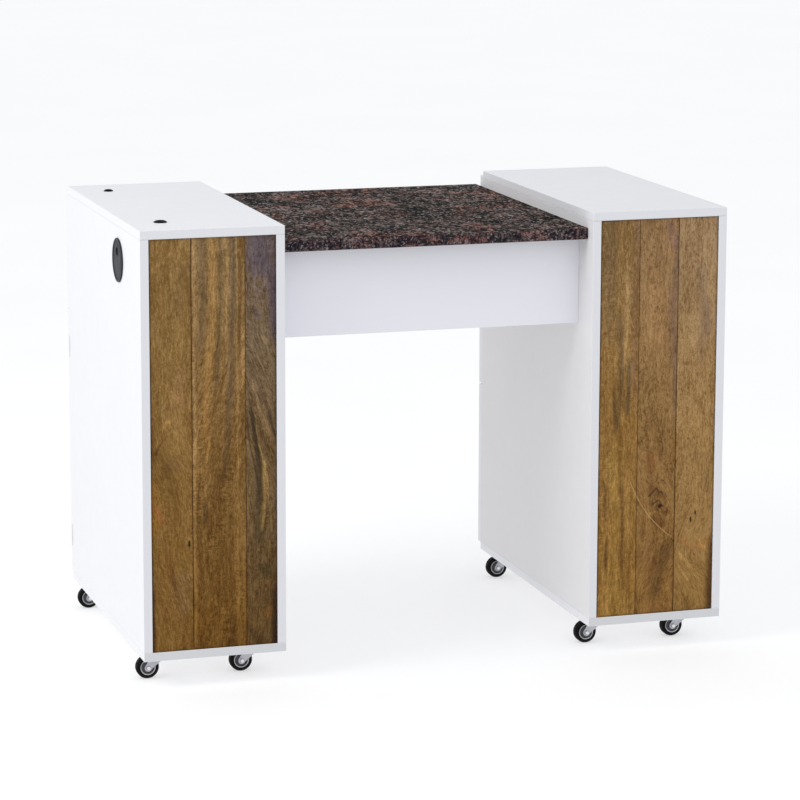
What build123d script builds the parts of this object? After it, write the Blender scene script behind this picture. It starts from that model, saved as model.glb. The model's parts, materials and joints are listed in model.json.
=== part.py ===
"""Two-pedestal manicure table with a dust extraction box under its granite top.

Frame, in millimetres: +Z up, X along the table, +Y towards the technician's side. The origin is the
middle of the whole table's footprint, on the floor. The client's side, with the boards, faces -Y.
"""

from build123d import *
import math
import os

# ---- driving dimensions ----------------------------------------------------------------------
PEDESTAL_W = 250.0  # outer width of each pedestal
GAP_W = 554.0  # knee space between the pedestals
CARCASS_D = 600.0  # depth of the pedestals' panels
CARCASS_H = 740.0  # height of the pedestals without casters
CASTER_H = 50.0  # floor to the underside of the pedestals
PANEL_T = 15.0  # melamine board
EDGE_R = 0.8  # rounding of the panels' edge banding

FRONT_GAP = 2.5  # between the carcass and the doors and drawer fronts, for the hinge leaves
FRONT_T = 16.0  # doors and drawer fronts
FRONT_TOP_DROP = 10.0  # fronts start this far below the pedestal's top
FRONT_BOTTOM_RISE = 13.0  # and end this far above its underside
FRONT_REVEAL = 3.0  # gap between two fronts
FRONT_SIDE_REVEAL = 1.0
KNOB_REACH = 24.0
SERVICE_PANEL_H = 216.0  # the fixed front over the duct compartment
DRAWER_FRONT_H = (170.0, 230.0, 311.0)  # from the top down

BOARD_T = 14.0  # timber boards on the client's side
BOARD_RECESS = 1.0
BOARD_SIDE_GAP = 1.0
BOARD_SEAM = 1.4
LEFT_SEAMS = (0.326, 0.755)  # where the boards meet, as shares of the panel's width
RIGHT_SEAMS = (0.33, 0.663)
BOARD_EDGE = 1.0

GRANITE_T = 20.0
GRANITE_DROP = 30.0  # its surface below the pedestals' tops
GRANITE_SETBACK = 25.0  # its front edge behind the pedestals' front
GRANITE_BACK = 640.0  # its rear edge, from the pedestals' front
GRANITE_END_GAP = 0.5
APRON_SETBACK = 70.0
APRON_H = 155.0
PLENUM_FLOOR_T = 12.0
CLEAT_W = 25.0
CLEAT_H = 20.0

PORT_R = 38.0  # outer radius of the exhaust port's flange
PORT_Y = 168.0  # from the pedestals' front
PORT_DROP = 73.0  # below the pedestal's top
PORT_PROUD = 3.0  # flange thickness
DUCT_R = 35.0  # outside radius of the spigots that the hose is pushed over
DUCT_WALL = 2.0
HOSE_GAP = 0.2
HOSE_WALL = 2.3
FAN_SIZE = 92.0
FAN_DEPTH = 25.0
FAN_HOLE_R = 42.0  # through the left pedestal's inner side
FAN_CLEARANCE = 2.0  # under the cleat

WHEEL_R = 20.0
WHEEL_W = 17.0
CASTER_TRAIL = 20.0
CASTER_SIDE_INSET = 42.0  # swivel axis from the pedestal's sides
CASTER_FRONT_INSET = 78.0
CASTER_REAR_INSET = 30.0

RUNNING = 0.05  # radial clearance of pins and shafts in their bores

# ---- places worked out from them --------------------------------------------------------------
OVERALL_D = CARCASS_D + FRONT_GAP + FRONT_T + KNOB_REACH
FRONT_Y = -OVERALL_D / 2
REAR_Y = FRONT_Y + CARCASS_D
FACE_BACK_Y = REAR_Y + FRONT_GAP
FACE_Y = FACE_BACK_Y + FRONT_T
MID_X = PORT_PROUD / 2  # the port stands proud on the left, so the table's middle is a little right
GAP_LEFT = MID_X - GAP_W / 2
GAP_RIGHT = MID_X + GAP_W / 2
LEFT_X = GAP_LEFT - PEDESTAL_W
RIGHT_X = GAP_RIGHT + PEDESTAL_W
TOP_Z = CASTER_H + CARCASS_H
SIDE_TOP_Z = TOP_Z - PANEL_T
SIDE_BOTTOM_Z = CASTER_H + PANEL_T
FRONTS_TOP_Z = TOP_Z - FRONT_TOP_DROP
FRONTS_BOTTOM_Z = CASTER_H + FRONT_BOTTOM_RISE
GRANITE_Z = TOP_Z - GRANITE_DROP - GRANITE_T
APRON_BOTTOM_Z = GRANITE_Z - APRON_H
APRON_Y = FRONT_Y + APRON_SETBACK
PLENUM_REAR_Y = REAR_Y - PANEL_T
DOOR_TOP_Z = FRONTS_TOP_Z - SERVICE_PANEL_H - FRONT_REVEAL
SHELF_Z = DOOR_TOP_Z + FRONT_REVEAL / 2 - PANEL_T / 2
DUCT_Y = FRONT_Y + PORT_Y
PORT_Z = TOP_Z - PORT_DROP
FAN_Z = GRANITE_Z - CLEAT_H - FAN_CLEARANCE - FAN_SIZE / 2

LEFT_OUTER = (LEFT_X, LEFT_X + PANEL_T)
LEFT_INNER = (GAP_LEFT - PANEL_T, GAP_LEFT)
RIGHT_INNER = (GAP_RIGHT, GAP_RIGHT + PANEL_T)
RIGHT_OUTER = (RIGHT_X - PANEL_T, RIGHT_X)

parts = {}


# ---- helpers ------------------------------------------------------------------------------------
def block(xs, ys, zs):
    """A box between two values on each axis."""
    size = [b - a for a, b in (xs, ys, zs)]
    centre = [(a + b) / 2 for a, b in (xs, ys, zs)]
    return Pos(*centre) * Box(*size)


def board(xs, ys, zs, edge=EDGE_R):
    """A box with rounded edges."""
    shape = block(xs, ys, zs)
    return fillet(shape.edges(), edge)


def rod(axis, radius, start, end, at):
    """A cylinder along X, Y or Z from start to end, through the point at (the two other coordinates)."""
    length = end - start
    middle = (start + end) / 2
    if axis == "X":
        return Pos(middle, *at) * Rot(0, 90, 0) * Cylinder(radius, length)
    if axis == "Y":
        return Pos(at[0], middle, at[1]) * Rot(90, 0, 0) * Cylinder(radius, length)
    return Pos(at[0], at[1], middle) * Cylinder(radius, length)


def tube(axis, outer, inner, start, end, at):
    return rod(axis, outer, start, end, at) - rod(axis, inner, start - 1, end + 1, at)


# ---- bolts that hold the bridge between the pedestals -----------------------------------------------
BOLT_R = 3.0
BOLT_HEAD_R = 5.0
BOLT_HEAD_H = 4.0
BOLT_REACH = 18.0  # into the apron or cleat
BOLT_HOLE_GAP = 0.1
APRON_BOLT_Z = (APRON_BOTTOM_Z + 35.0, GRANITE_Z - 35.0)
CLEAT_BOLT_Y = (FRONT_Y + 280.0, FRONT_Y + 460.0)
BOLT_PLACES = [(APRON_Y + PANEL_T / 2, z) for z in APRON_BOLT_Z]
BOLT_PLACES += [(y, GRANITE_Z - CLEAT_H / 2) for y in CLEAT_BOLT_Y]


def bolts(grow=0.0):
    """Cap-head bolts through both inner sides. With grow they are the holes that the bolts go through."""
    made = []
    for place in BOLT_PLACES:
        made.append(rod("X", BOLT_R + grow, LEFT_INNER[0], GAP_LEFT + BOLT_REACH + grow, place))
        made.append(rod("X", BOLT_R + grow, GAP_RIGHT - BOLT_REACH - grow, RIGHT_INNER[1], place))
    return made


def bolt_set():
    made = []
    for shank, place in zip(bolts(), [p for p in BOLT_PLACES for _ in range(2)]):
        left = shank.center().X < MID_X
        head_at = LEFT_INNER[0] - BOLT_HEAD_H if left else RIGHT_INNER[1]
        head = rod("X", BOLT_HEAD_R, head_at, head_at + BOLT_HEAD_H, place)
        socket_at = head_at if left else head_at + BOLT_HEAD_H - 2
        socket = Pos(socket_at + 1, *place) * Rot(0, 90, 0) * extrude(RegularPolygon(2.5, 6), 1, both=True)
        made.append(shank + head - socket)
    return made


BOLT_HOLES = bolts(BOLT_HOLE_GAP)


# ---- pedestals ------------------------------------------------------------------------------------
def front_boards(inner_xs, seams):
    """Three timber boards between a pedestal's sides, with a narrow seam between two of them."""
    left = inner_xs[0] + BOARD_SIDE_GAP
    width = inner_xs[1] - inner_xs[0] - 2 * BOARD_SIDE_GAP
    cuts = [0.0, *seams, 1.0]
    made = []
    for a, b in zip(cuts, cuts[1:]):
        x0 = left + a * width + (BOARD_SEAM / 2 if a > 0 else 0)
        x1 = left + b * width - (BOARD_SEAM / 2 if b < 1 else 0)
        ys = (FRONT_Y + BOARD_RECESS, FRONT_Y + BOARD_RECESS + BOARD_T)
        shape = block((x0, x1), ys, (SIDE_BOTTOM_Z, SIDE_TOP_Z))
        long_edges = shape.edges().filter_by(Axis.Z).group_by(Axis.Y)[0]
        made.append(chamfer(long_edges, BOARD_EDGE))
    return made


LAMP_HOLE_R = 8.0  # holes in the left top for the lamp socket and the cord bush
CORD_HOLE_R = 6.0
GROMMET_X = LEFT_X + 57.0
LAMP_Y = FRONT_Y + 94.0
CORD_Y = FRONT_Y + 510.0


def pedestal(side, outer, inner, seams):
    """The panels of one pedestal. outer and inner are the X ranges of its two sides."""
    xs = (min(outer[0], inner[0]), max(outer[1], inner[1]))
    inner_xs = (min(outer[1], inner[1]), max(outer[0], inner[0]))
    depth = (FRONT_Y, REAR_Y)
    parts[f"{side}_top_panel"] = board(xs, depth, (SIDE_TOP_Z, TOP_Z))
    parts[f"{side}_bottom_panel"] = board(xs, depth, (CASTER_H, SIDE_BOTTOM_Z))
    parts[f"{side}_outer_side"] = board(outer, depth, (SIDE_BOTTOM_Z, SIDE_TOP_Z))
    parts[f"{side}_inner_side"] = board(inner, depth, (SIDE_BOTTOM_Z, SIDE_TOP_Z)) - BOLT_HOLES
    parts[f"{side}_front_boards"] = front_boards(inner_xs, seams)


def left_pedestal():
    pedestal("left", LEFT_OUTER, LEFT_INNER, LEFT_SEAMS)
    parts["left_top_panel"] -= rod("Z", LAMP_HOLE_R, SIDE_TOP_Z - 1, TOP_Z + 1, (GROMMET_X, LAMP_Y))
    parts["left_top_panel"] -= rod("Z", CORD_HOLE_R, SIDE_TOP_Z - 1, TOP_Z + 1, (GROMMET_X, CORD_Y))
    parts["left_outer_side"] -= rod("X", DUCT_R, LEFT_X - 1, LEFT_OUTER[1] + 1, (DUCT_Y, PORT_Z))
    parts["left_inner_side"] -= rod("X", FAN_HOLE_R, LEFT_INNER[0] - 1, GAP_LEFT + 1, (DUCT_Y, FAN_Z))
    shelf_y = (FRONT_Y + BOARD_RECESS + BOARD_T, REAR_Y)
    shelf_z = (SHELF_Z, SHELF_Z + PANEL_T)
    parts["left_divider_shelf"] = board((LEFT_OUTER[1], LEFT_INNER[0]), shelf_y, shelf_z)
    face_xs = (LEFT_X + FRONT_SIDE_REVEAL, GAP_LEFT - FRONT_SIDE_REVEAL)
    panel_z = (FRONTS_TOP_Z - SERVICE_PANEL_H, FRONTS_TOP_Z)
    panel = board(face_xs, (FACE_BACK_Y, FACE_Y), panel_z)
    spacer_x = ((LEFT_OUTER[0] + 2, LEFT_OUTER[1] - 2), (LEFT_INNER[0] + 2, LEFT_INNER[1] - 2))
    for spacer in spacer_x:
        panel += block(spacer, (REAR_Y, FACE_BACK_Y), (panel_z[0] + 30, panel_z[1] - 30))
    parts["left_service_panel"] = panel
    parts["left_door"] = board(face_xs, (FACE_BACK_Y, FACE_Y), (FRONTS_BOTTOM_Z, DOOR_TOP_Z))


# ---- door hinges and knobs --------------------------------------------------------------------------
HINGE_H = 40.0
HINGE_KNUCKLE_R = 1.6
HINGE_PIN_R = 0.8
HINGE_LEAF_T = 1.0
HINGE_END_INSET = 70.0  # hinge centre from the door's top and bottom
HINGE_X = LEFT_X - 1.0
HINGE_Y = REAR_Y + FRONT_GAP / 2
HINGE_Z = (FRONTS_BOTTOM_Z + HINGE_END_INSET, DOOR_TOP_Z - HINGE_END_INSET)
KNUCKLE_GAP = 0.3


def hinge(z):
    """One butt hinge as its fixed leaf, with the pin, and its moving leaf."""
    low, high = z - HINGE_H / 2, z + HINGE_H / 2
    third = HINGE_H / 3
    at = (HINGE_X, HINGE_Y)
    clear_x = HINGE_X + HINGE_KNUCKLE_R + KNUCKLE_GAP
    fixed_y = (REAR_Y, REAR_Y + HINGE_LEAF_T)
    moving_y = (FACE_BACK_Y - HINGE_LEAF_T, FACE_BACK_Y)
    ends = ((low, low + third), (high - third, high))
    middle = (low + third + KNUCKLE_GAP, high - third - KNUCKLE_GAP)
    fixed = block((clear_x, LEFT_OUTER[1] - 1), fixed_y, (low, high))
    for zs in ends:
        fixed += rod("Z", HINGE_KNUCKLE_R, *zs, at) + block((HINGE_X, clear_x), fixed_y, zs)
    fixed += rod("Z", HINGE_PIN_R, low, high, at)
    moving = block((clear_x, clear_x + 20), moving_y, (low, high))
    moving += rod("Z", HINGE_KNUCKLE_R, *middle, at) + block((HINGE_X, clear_x), moving_y, middle)
    moving -= rod("Z", HINGE_PIN_R + RUNNING, low - 1, high + 1, at)
    return fixed, moving


def hinges():
    pairs = [hinge(z) for z in HINGE_Z]
    parts["door_hinge_leaves_fixed"] = [p[0] for p in pairs]
    parts["door_hinge_leaves_moving"] = [p[1] for p in pairs]


KNOB_R = 11.0
KNOB_STEM_R = 5.0
KNOB_CAP_T = 8.0


def knob(x, z):
    """A turned knob on a front's face, with its axis along Y."""
    stem = KNOB_REACH - KNOB_CAP_T
    profile = Plane.XY * make_face(
        Polyline((0, 0), (KNOB_STEM_R + 2, 0), (KNOB_STEM_R, 3), (KNOB_STEM_R, stem - 4), (KNOB_R, stem))
        + Line((KNOB_R, stem), (KNOB_R, KNOB_REACH - 2))
        + CenterArc((KNOB_R - 2, KNOB_REACH - 2), 2, 0, 90)
        + Polyline((KNOB_R - 2, KNOB_REACH), (0, KNOB_REACH), (0, 0))
    )
    return Pos(x, FACE_Y, z) * revolve(profile, Axis.Y)


# ---- drawers in the right pedestal -------------------------------------------------------------------
DRAWER_BOX_D = 450.0
DRAWER_WALL = 12.0
DRAWER_FLOOR_T = 6.0
DRAWER_BOX_DROP = 28.0  # box top below the front's top
DRAWER_BOX_RISE = 18.0  # box bottom above the front's bottom
RUNNER_T = 6.0
RUNNER_GAP = 0.5
RUNNER_H = 36.0
RUNNER_MOVING_H = 28.0
RUNNER_L = 450.0
DRAWER_INNER = (RIGHT_INNER[1], RIGHT_OUTER[0])


def drawer(number, top_z):
    """One drawer: its front, knob and open box with the moving runners. Returns its fixed runners."""
    height = DRAWER_FRONT_H[number - 1]
    face_xs = (GAP_RIGHT + FRONT_SIDE_REVEAL, RIGHT_X - FRONT_SIDE_REVEAL)
    parts[f"drawer_{number}_front"] = board(face_xs, (FACE_BACK_Y, FACE_Y), (top_z - height, top_z))
    parts[f"drawer_{number}_knob"] = knob(sum(face_xs) / 2, top_z - height / 2)

    side_gap = 2 * RUNNER_T + RUNNER_GAP
    xs = (DRAWER_INNER[0] + side_gap, DRAWER_INNER[1] - side_gap)
    ys = (FACE_BACK_Y - DRAWER_BOX_D, FACE_BACK_Y)
    zs = (top_z - height + DRAWER_BOX_RISE, top_z - DRAWER_BOX_DROP)
    inside = (xs[0] + DRAWER_WALL, xs[1] - DRAWER_WALL)
    walls = [
        block((xs[0], inside[0]), ys, zs),
        block((inside[1], xs[1]), ys, zs),
        block(inside, (ys[0], ys[0] + DRAWER_WALL), zs),
        block(inside, (ys[1] - DRAWER_WALL, ys[1]), zs),
        block(inside, (ys[0] + DRAWER_WALL, ys[1] - DRAWER_WALL), (zs[0], zs[0] + DRAWER_FLOOR_T)),
    ]
    runner_z = zs[0] + 40.0
    rear_end = REAR_Y - 2.0
    fixed = []
    for wall_x, way in ((DRAWER_INNER[0], 1), (DRAWER_INNER[1], -1)):
        outer = sorted((wall_x, wall_x + way * RUNNER_T))
        inner = sorted((wall_x + way * (RUNNER_T + RUNNER_GAP), wall_x + way * side_gap))
        half, half_moving = RUNNER_H / 2, RUNNER_MOVING_H / 2
        fixed.append(block(outer, (rear_end - RUNNER_L, rear_end), (runner_z - half, runner_z + half)))
        moving_z = (runner_z - half_moving, runner_z + half_moving)
        walls.append(block(inner, (ys[0], rear_end), moving_z))
    parts[f"drawer_{number}_box"] = walls
    return fixed


def drawers():
    top = FRONTS_TOP_Z
    fixed = []
    for number, height in enumerate(DRAWER_FRONT_H, 1):
        fixed += drawer(number, top)
        top -= height + FRONT_REVEAL
    parts["drawer_runners_fixed"] = fixed


# ---- granite, apron and the extraction box under it ---------------------------------------------------
CASSETTE_W = 300.0
CASSETTE_H = 90.0
CASSETTE_D = 60.0
CASSETTE_Z = APRON_BOTTOM_Z + PLENUM_FLOOR_T + 20.0 + CASSETTE_H / 2
CASSETTE_GAP = 0.5
CASSETTE_WALL = 3.0
CASSETTE_FLANGE = 10.0
CASSETTE_PLATE_T = 4.0
LOUVRE_COUNT = 9
LOUVRE_H = 4.5
SWITCH_X = MID_X + 215.0
SWITCH_W = 21.0
SWITCH_H = 31.0
SWITCH_D = 20.0
SWITCH_GAP = 0.4
ROCKER_TILT = 8.0
BEZEL_T = 2.0


def bridge():
    xs = (GAP_LEFT, GAP_RIGHT)
    parts["granite_top"] = board(
        (GAP_LEFT + GRANITE_END_GAP, GAP_RIGHT - GRANITE_END_GAP),
        (FRONT_Y + GRANITE_SETBACK, FRONT_Y + GRANITE_BACK),
        (GRANITE_Z, GRANITE_Z + GRANITE_T),
        1.5,
    )
    parts["apron_panel"] = board(xs, (APRON_Y, APRON_Y + PANEL_T), (APRON_BOTTOM_Z, GRANITE_Z)) - BOLT_HOLES
    cleat_y = (APRON_Y + PANEL_T, PLENUM_REAR_Y)
    cleat_z = (GRANITE_Z - CLEAT_H, GRANITE_Z)
    left = block((GAP_LEFT, GAP_LEFT + CLEAT_W), cleat_y, cleat_z) - BOLT_HOLES
    right = block((GAP_RIGHT - CLEAT_W, GAP_RIGHT), cleat_y, cleat_z) - BOLT_HOLES
    parts["support_cleats"] = [left, right]
    floor_z = (APRON_BOTTOM_Z, APRON_BOTTOM_Z + PLENUM_FLOOR_T)
    parts["plenum_floor"] = board(xs, (APRON_Y + PANEL_T, REAR_Y), floor_z)
    rear = board(xs, (PLENUM_REAR_Y, REAR_Y), (floor_z[1], GRANITE_Z))
    half_w = CASSETTE_W / 2 + CASSETTE_GAP
    half_h = CASSETTE_H / 2 + CASSETTE_GAP
    through = (PLENUM_REAR_Y - 1, REAR_Y + 1)
    rear -= block((MID_X - half_w, MID_X + half_w), through, (CASSETTE_Z - half_h, CASSETTE_Z + half_h))
    switch_xs = (SWITCH_X - SWITCH_W / 2, SWITCH_X + SWITCH_W / 2)
    rear -= block(switch_xs, through, (CASSETTE_Z - SWITCH_H / 2, CASSETTE_Z + SWITCH_H / 2))
    parts["plenum_rear_panel"] = rear


def filter_cassette():
    """A frame with a louvred face that pulls out towards the technician, and its pleated filter."""
    xs = (MID_X - CASSETTE_W / 2, MID_X + CASSETTE_W / 2)
    zs = (CASSETTE_Z - CASSETTE_H / 2, CASSETTE_Z + CASSETTE_H / 2)
    plate_y = (REAR_Y + CASSETTE_GAP, REAR_Y + CASSETTE_GAP + CASSETTE_PLATE_T)
    flange_xs = (xs[0] - CASSETTE_FLANGE, xs[1] + CASSETTE_FLANGE)
    flange_zs = (zs[0] - CASSETTE_FLANGE, zs[1] + CASSETTE_FLANGE)
    inner_xs = (xs[0] + CASSETTE_WALL, xs[1] - CASSETTE_WALL)
    inner_zs = (zs[0] + CASSETTE_WALL, zs[1] - CASSETTE_WALL)
    frame_y = (plate_y[0] - CASSETTE_D, plate_y[0])
    body = board(flange_xs, plate_y, flange_zs, 1.2)
    body += block(xs, frame_y, zs)
    body -= block(inner_xs, (frame_y[0] - 1, frame_y[1]), inner_zs)
    pitch = (inner_zs[1] - inner_zs[0] - LOUVRE_H) / LOUVRE_COUNT
    for row in range(LOUVRE_COUNT):
        low = inner_zs[0] + pitch * (row + 0.5)
        for half in (-1, 1):
            slot_xs = sorted((MID_X + half * 6.0, MID_X + half * (CASSETTE_W / 2 - 8.0)))
            body -= block(slot_xs, (plate_y[0] - 1, plate_y[1] + 1), (low, low + LOUVRE_H))
    pull_z = CASSETTE_Z - CASSETTE_H / 2 - CASSETTE_FLANGE + 8.0
    body += board((MID_X - 30, MID_X + 30), (plate_y[1] - 1, plate_y[1] + 9), (pull_z - 3, pull_z + 3), 1.0)
    parts["filter_cassette"] = body

    parts["filter_media"] = pleated_filter(inner_xs, (frame_y[0] + 5.0, frame_y[1] - 6.0), inner_zs)


def pleated_filter(xs, ys, zs, pleats=20, thickness=1.6):
    """An upright sheet folded to and fro between the two ys."""
    step = (xs[1] - xs[0]) / pleats
    slant = thickness * math.hypot(step, ys[1] - ys[0]) / step
    fold_y = (ys[0], ys[1] - slant)
    near = [(xs[0] + step * i, fold_y[i % 2]) for i in range(pleats + 1)]
    far = [(x, y + slant) for x, y in reversed(near)]
    outline = make_face(Polyline(*near, *far, near[0]))
    return Pos(0, 0, zs[0]) * extrude(outline, zs[1] - zs[0])


def switch():
    """A rocker switch in the box's rear panel."""
    xs = (SWITCH_X - SWITCH_W / 2, SWITCH_X + SWITCH_W / 2)
    zs = (CASSETTE_Z - SWITCH_H / 2, CASSETTE_Z + SWITCH_H / 2)
    body = block(xs, (REAR_Y - SWITCH_D, REAR_Y), zs)
    bezel_xs = (xs[0] - 2, xs[1] + 2)
    bezel_zs = (zs[0] - 2, zs[1] + 2)
    body += board(bezel_xs, (REAR_Y, REAR_Y + BEZEL_T), bezel_zs, 0.6)
    well = block((xs[0] + 2.5, xs[1] - 2.5), (REAR_Y - 10, REAR_Y + 5), (zs[0] + 2.5, zs[1] - 2.5))
    parts["fan_switch_body"] = body - well

    rocker_w = SWITCH_W - 5 - 2 * SWITCH_GAP
    half_h = SWITCH_H / 2 - 2.5 - 1.0
    pivot = Pos(SWITCH_X, REAR_Y - 1.0, CASSETTE_Z)
    side = Polyline((-2, -half_h), (4.2, -half_h), (2.6, 0), (4.2, half_h), (-2, half_h), (-2, -half_h))
    key = extrude(Plane.YZ * make_face(side), rocker_w / 2, both=True)
    parts["fan_switch_rocker"] = pivot * Rot(-ROCKER_TILT, 0, 0) * key


def fan():
    """A square axial fan over the hole in the left pedestal's inner side, and its rotor."""
    xs = (GAP_LEFT, GAP_LEFT + FAN_DEPTH)
    at = (DUCT_Y, FAN_Z)
    half = FAN_SIZE / 2
    throat_r = half - 3.0
    hub_r = 17.0
    motor_t = 6.0
    frame = board(xs, (DUCT_Y - half, DUCT_Y + half), (FAN_Z - half, FAN_Z + half), 2.0)
    frame -= rod("X", throat_r, xs[0] - 1, xs[1] + 1, at)
    frame += rod("X", hub_r, xs[0], xs[0] + motor_t, at)
    strut = Box(4.0, 4.0, throat_r - hub_r + 3.0)
    for turn in (90, 210, 330):
        frame += Pos(xs[0] + 2.0, *at) * Rot(turn, 0, 0) * Pos(0, 0, (throat_r + hub_r) / 2) * strut
    shaft_r = 2.0
    frame -= rod("X", shaft_r + RUNNING, xs[0] + 1, xs[1], at)
    parts["fan_frame"] = frame

    rotor_xs = (xs[0] + motor_t + 0.6, xs[1] - 2.0)
    rotor = rod("X", hub_r, *rotor_xs, at) + rod("X", shaft_r, xs[0] + 1.5, rotor_xs[0], at)
    blade_l = throat_r - hub_r - 1.0
    blade = Box(1.8, 15.0, blade_l + 2.0)
    rotor_mid = sum(rotor_xs) / 2
    blades = 7
    for i in range(blades):
        out = Pos(0, 0, hub_r - 2.0 + (blade_l + 2.0) / 2)
        rotor += Pos(rotor_mid, *at) * Rot(360 / blades * i, 0, 0) * out * Rot(0, 0, 50) * blade
    parts["fan_rotor"] = rotor


def duct():
    """The spigot behind the fan, the hose and the port in the left pedestal's outer side."""
    fan_at = (DUCT_Y, FAN_Z)
    port_at = (DUCT_Y, PORT_Z)
    bore = DUCT_R - DUCT_WALL
    flange_xs = (LEFT_INNER[0] - 2.5, LEFT_INNER[0])
    spigot_end = LEFT_INNER[0] - 30.0
    half = FAN_SIZE / 2
    flange = board(flange_xs, (DUCT_Y - half, DUCT_Y + half), (FAN_Z - half, FAN_Z + half), 1.0)
    spigot = flange + rod("X", DUCT_R, spigot_end, flange_xs[1], fan_at)
    parts["duct_spigot"] = spigot - rod("X", bore, spigot_end - 1, LEFT_INNER[0] + 1, fan_at)

    flange_x = LEFT_X - PORT_PROUD
    inner_end = LEFT_OUTER[1] + 25.0
    rim = rod("X", PORT_R, flange_x, LEFT_X, port_at)
    rim = fillet(rim.edges().group_by(Axis.X)[0], 1.2)
    liner = rim + rod("X", DUCT_R, LEFT_X, inner_end, port_at)
    liner -= rod("X", bore, flange_x - 1, inner_end + 1, port_at)
    liner += tube("X", bore + 0.5, bore - 2.5, LEFT_X + 2.0, LEFT_X + 4.0, port_at)
    parts["port_liner"] = liner

    cap_xs = (flange_x + 0.6, LEFT_X + 1.8)
    cap = rod("X", bore - 0.3, *cap_xs, port_at)
    cap = fillet(cap.edges().group_by(Axis.X)[0], 0.8)
    slot_r = 7.0
    slot_z = PORT_Z + 15.0
    cap -= rod("X", slot_r, cap_xs[0] - 1, cap_xs[1] + 1, (DUCT_Y, slot_z))
    parts["port_cap"] = cap

    hose_start = flange_xs[0]
    hose_end = LEFT_OUTER[1] + 1.0
    points = [
        (hose_start, DUCT_Y, FAN_Z),
        (hose_start - 52.0, DUCT_Y, FAN_Z),
        (hose_end + 52.0, DUCT_Y, PORT_Z),
        (hose_end, DUCT_Y, PORT_Z),
    ]
    path = FilletPolyline(*points, radius=100.0)
    inner_r = DUCT_R + HOSE_GAP
    start = Plane(origin=points[0], z_dir=(-1, 0, 0))
    ring = start * (Circle(inner_r + HOSE_WALL) - Circle(inner_r))
    parts["exhaust_hose"] = sweep(ring, path)


# ---- fittings in the left top ---------------------------------------------------------------------------
LAMP_FLANGE_R = 11.5
CORD_FLANGE_R = 8.5
LAMP_BORE_R = 6.25
CORD_BORE_R = 4.5
FITTING_PROUD = 3.0


def bush(flange_r, body_r, bore_r, y):
    """A flanged plastic bush with a rounded flange, pushed into a hole in the top."""
    at = (GROMMET_X, y)
    flange = rod("Z", flange_r, TOP_Z, TOP_Z + FITTING_PROUD, at)
    flange = fillet(flange.edges().group_by(Axis.Z)[-1], 1.8)
    body = flange + rod("Z", body_r, SIDE_TOP_Z - 5, TOP_Z, at)
    return body - rod("Z", bore_r, SIDE_TOP_Z - 6, TOP_Z + FITTING_PROUD + 1, at)


def top_fittings():
    parts["lamp_socket_and_cord_bush"] = [
        bush(LAMP_FLANGE_R, LAMP_HOLE_R, LAMP_BORE_R, LAMP_Y),
        bush(CORD_FLANGE_R, CORD_HOLE_R, CORD_BORE_R, CORD_Y),
    ]


# ---- casters -----------------------------------------------------------------------------------------
PLATE_T = 2.0
PLATE_HALF = 21.0
RACE_R = 16.0
RACE_BOTTOM_Z = 44.0
CROWN_Z = (41.0, 43.6)
KINGPIN_R = 3.0
AXLE_R = 3.0
CHEEK_T = 2.0
CHEEK_IN = WHEEL_W / 2 + 1.0
HUB_R = 13.5
TYRE_EDGE = 3.5
PLATE_HOLE_R = 2.2
PLATE_HOLE_AT = 16.5
SCREW_HEAD_R = 3.6


def caster_places():
    """Name and swivel axis of the eight casters."""
    places = {}
    for side, left, right in (("left", LEFT_X, GAP_LEFT), ("right", GAP_RIGHT, RIGHT_X)):
        for end, y in (("front", FRONT_Y + CASTER_FRONT_INSET), ("rear", REAR_Y - CASTER_REAR_INSET)):
            low, high = ("outer", "inner") if side == "left" else ("inner", "outer")
            places[f"{side}_{end}_{low}"] = (left + CASTER_SIDE_INSET, y)
            places[f"{side}_{end}_{high}"] = (right - CASTER_SIDE_INSET, y)
    return places


def caster_plate(x, y):
    """The fixed plate with its ball race housing and four screws."""
    at = (x, y)
    plate = block((x - PLATE_HALF, x + PLATE_HALF), (y - PLATE_HALF, y + PLATE_HALF), (CASTER_H - PLATE_T, CASTER_H))
    plate = fillet(plate.edges().filter_by(Axis.Z), 4.0)
    race = rod("Z", RACE_R, RACE_BOTTOM_Z, CASTER_H - PLATE_T, at)
    race = fillet(race.edges().group_by(Axis.Z)[0], 1.5)
    plate = plate + race - rod("Z", KINGPIN_R + RUNNING, RACE_BOTTOM_Z - 1, CASTER_H - 0.5, at)
    screws = []
    for dx in (-PLATE_HOLE_AT, PLATE_HOLE_AT):
        for dy in (-PLATE_HOLE_AT, PLATE_HOLE_AT):
            hole = (x + dx, y + dy)
            plate -= rod("Z", PLATE_HOLE_R, CASTER_H - PLATE_T - 1, CASTER_H, hole)
            head = rod("Z", SCREW_HEAD_R, CASTER_H - PLATE_T - 1.6, CASTER_H - PLATE_T, hole)
            head = fillet(head.edges().group_by(Axis.Z)[0], 1.0)
            screws.append(head + rod("Z", PLATE_HOLE_R, CASTER_H - PLATE_T, CASTER_H, hole))
    return [plate, *screws]


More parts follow.
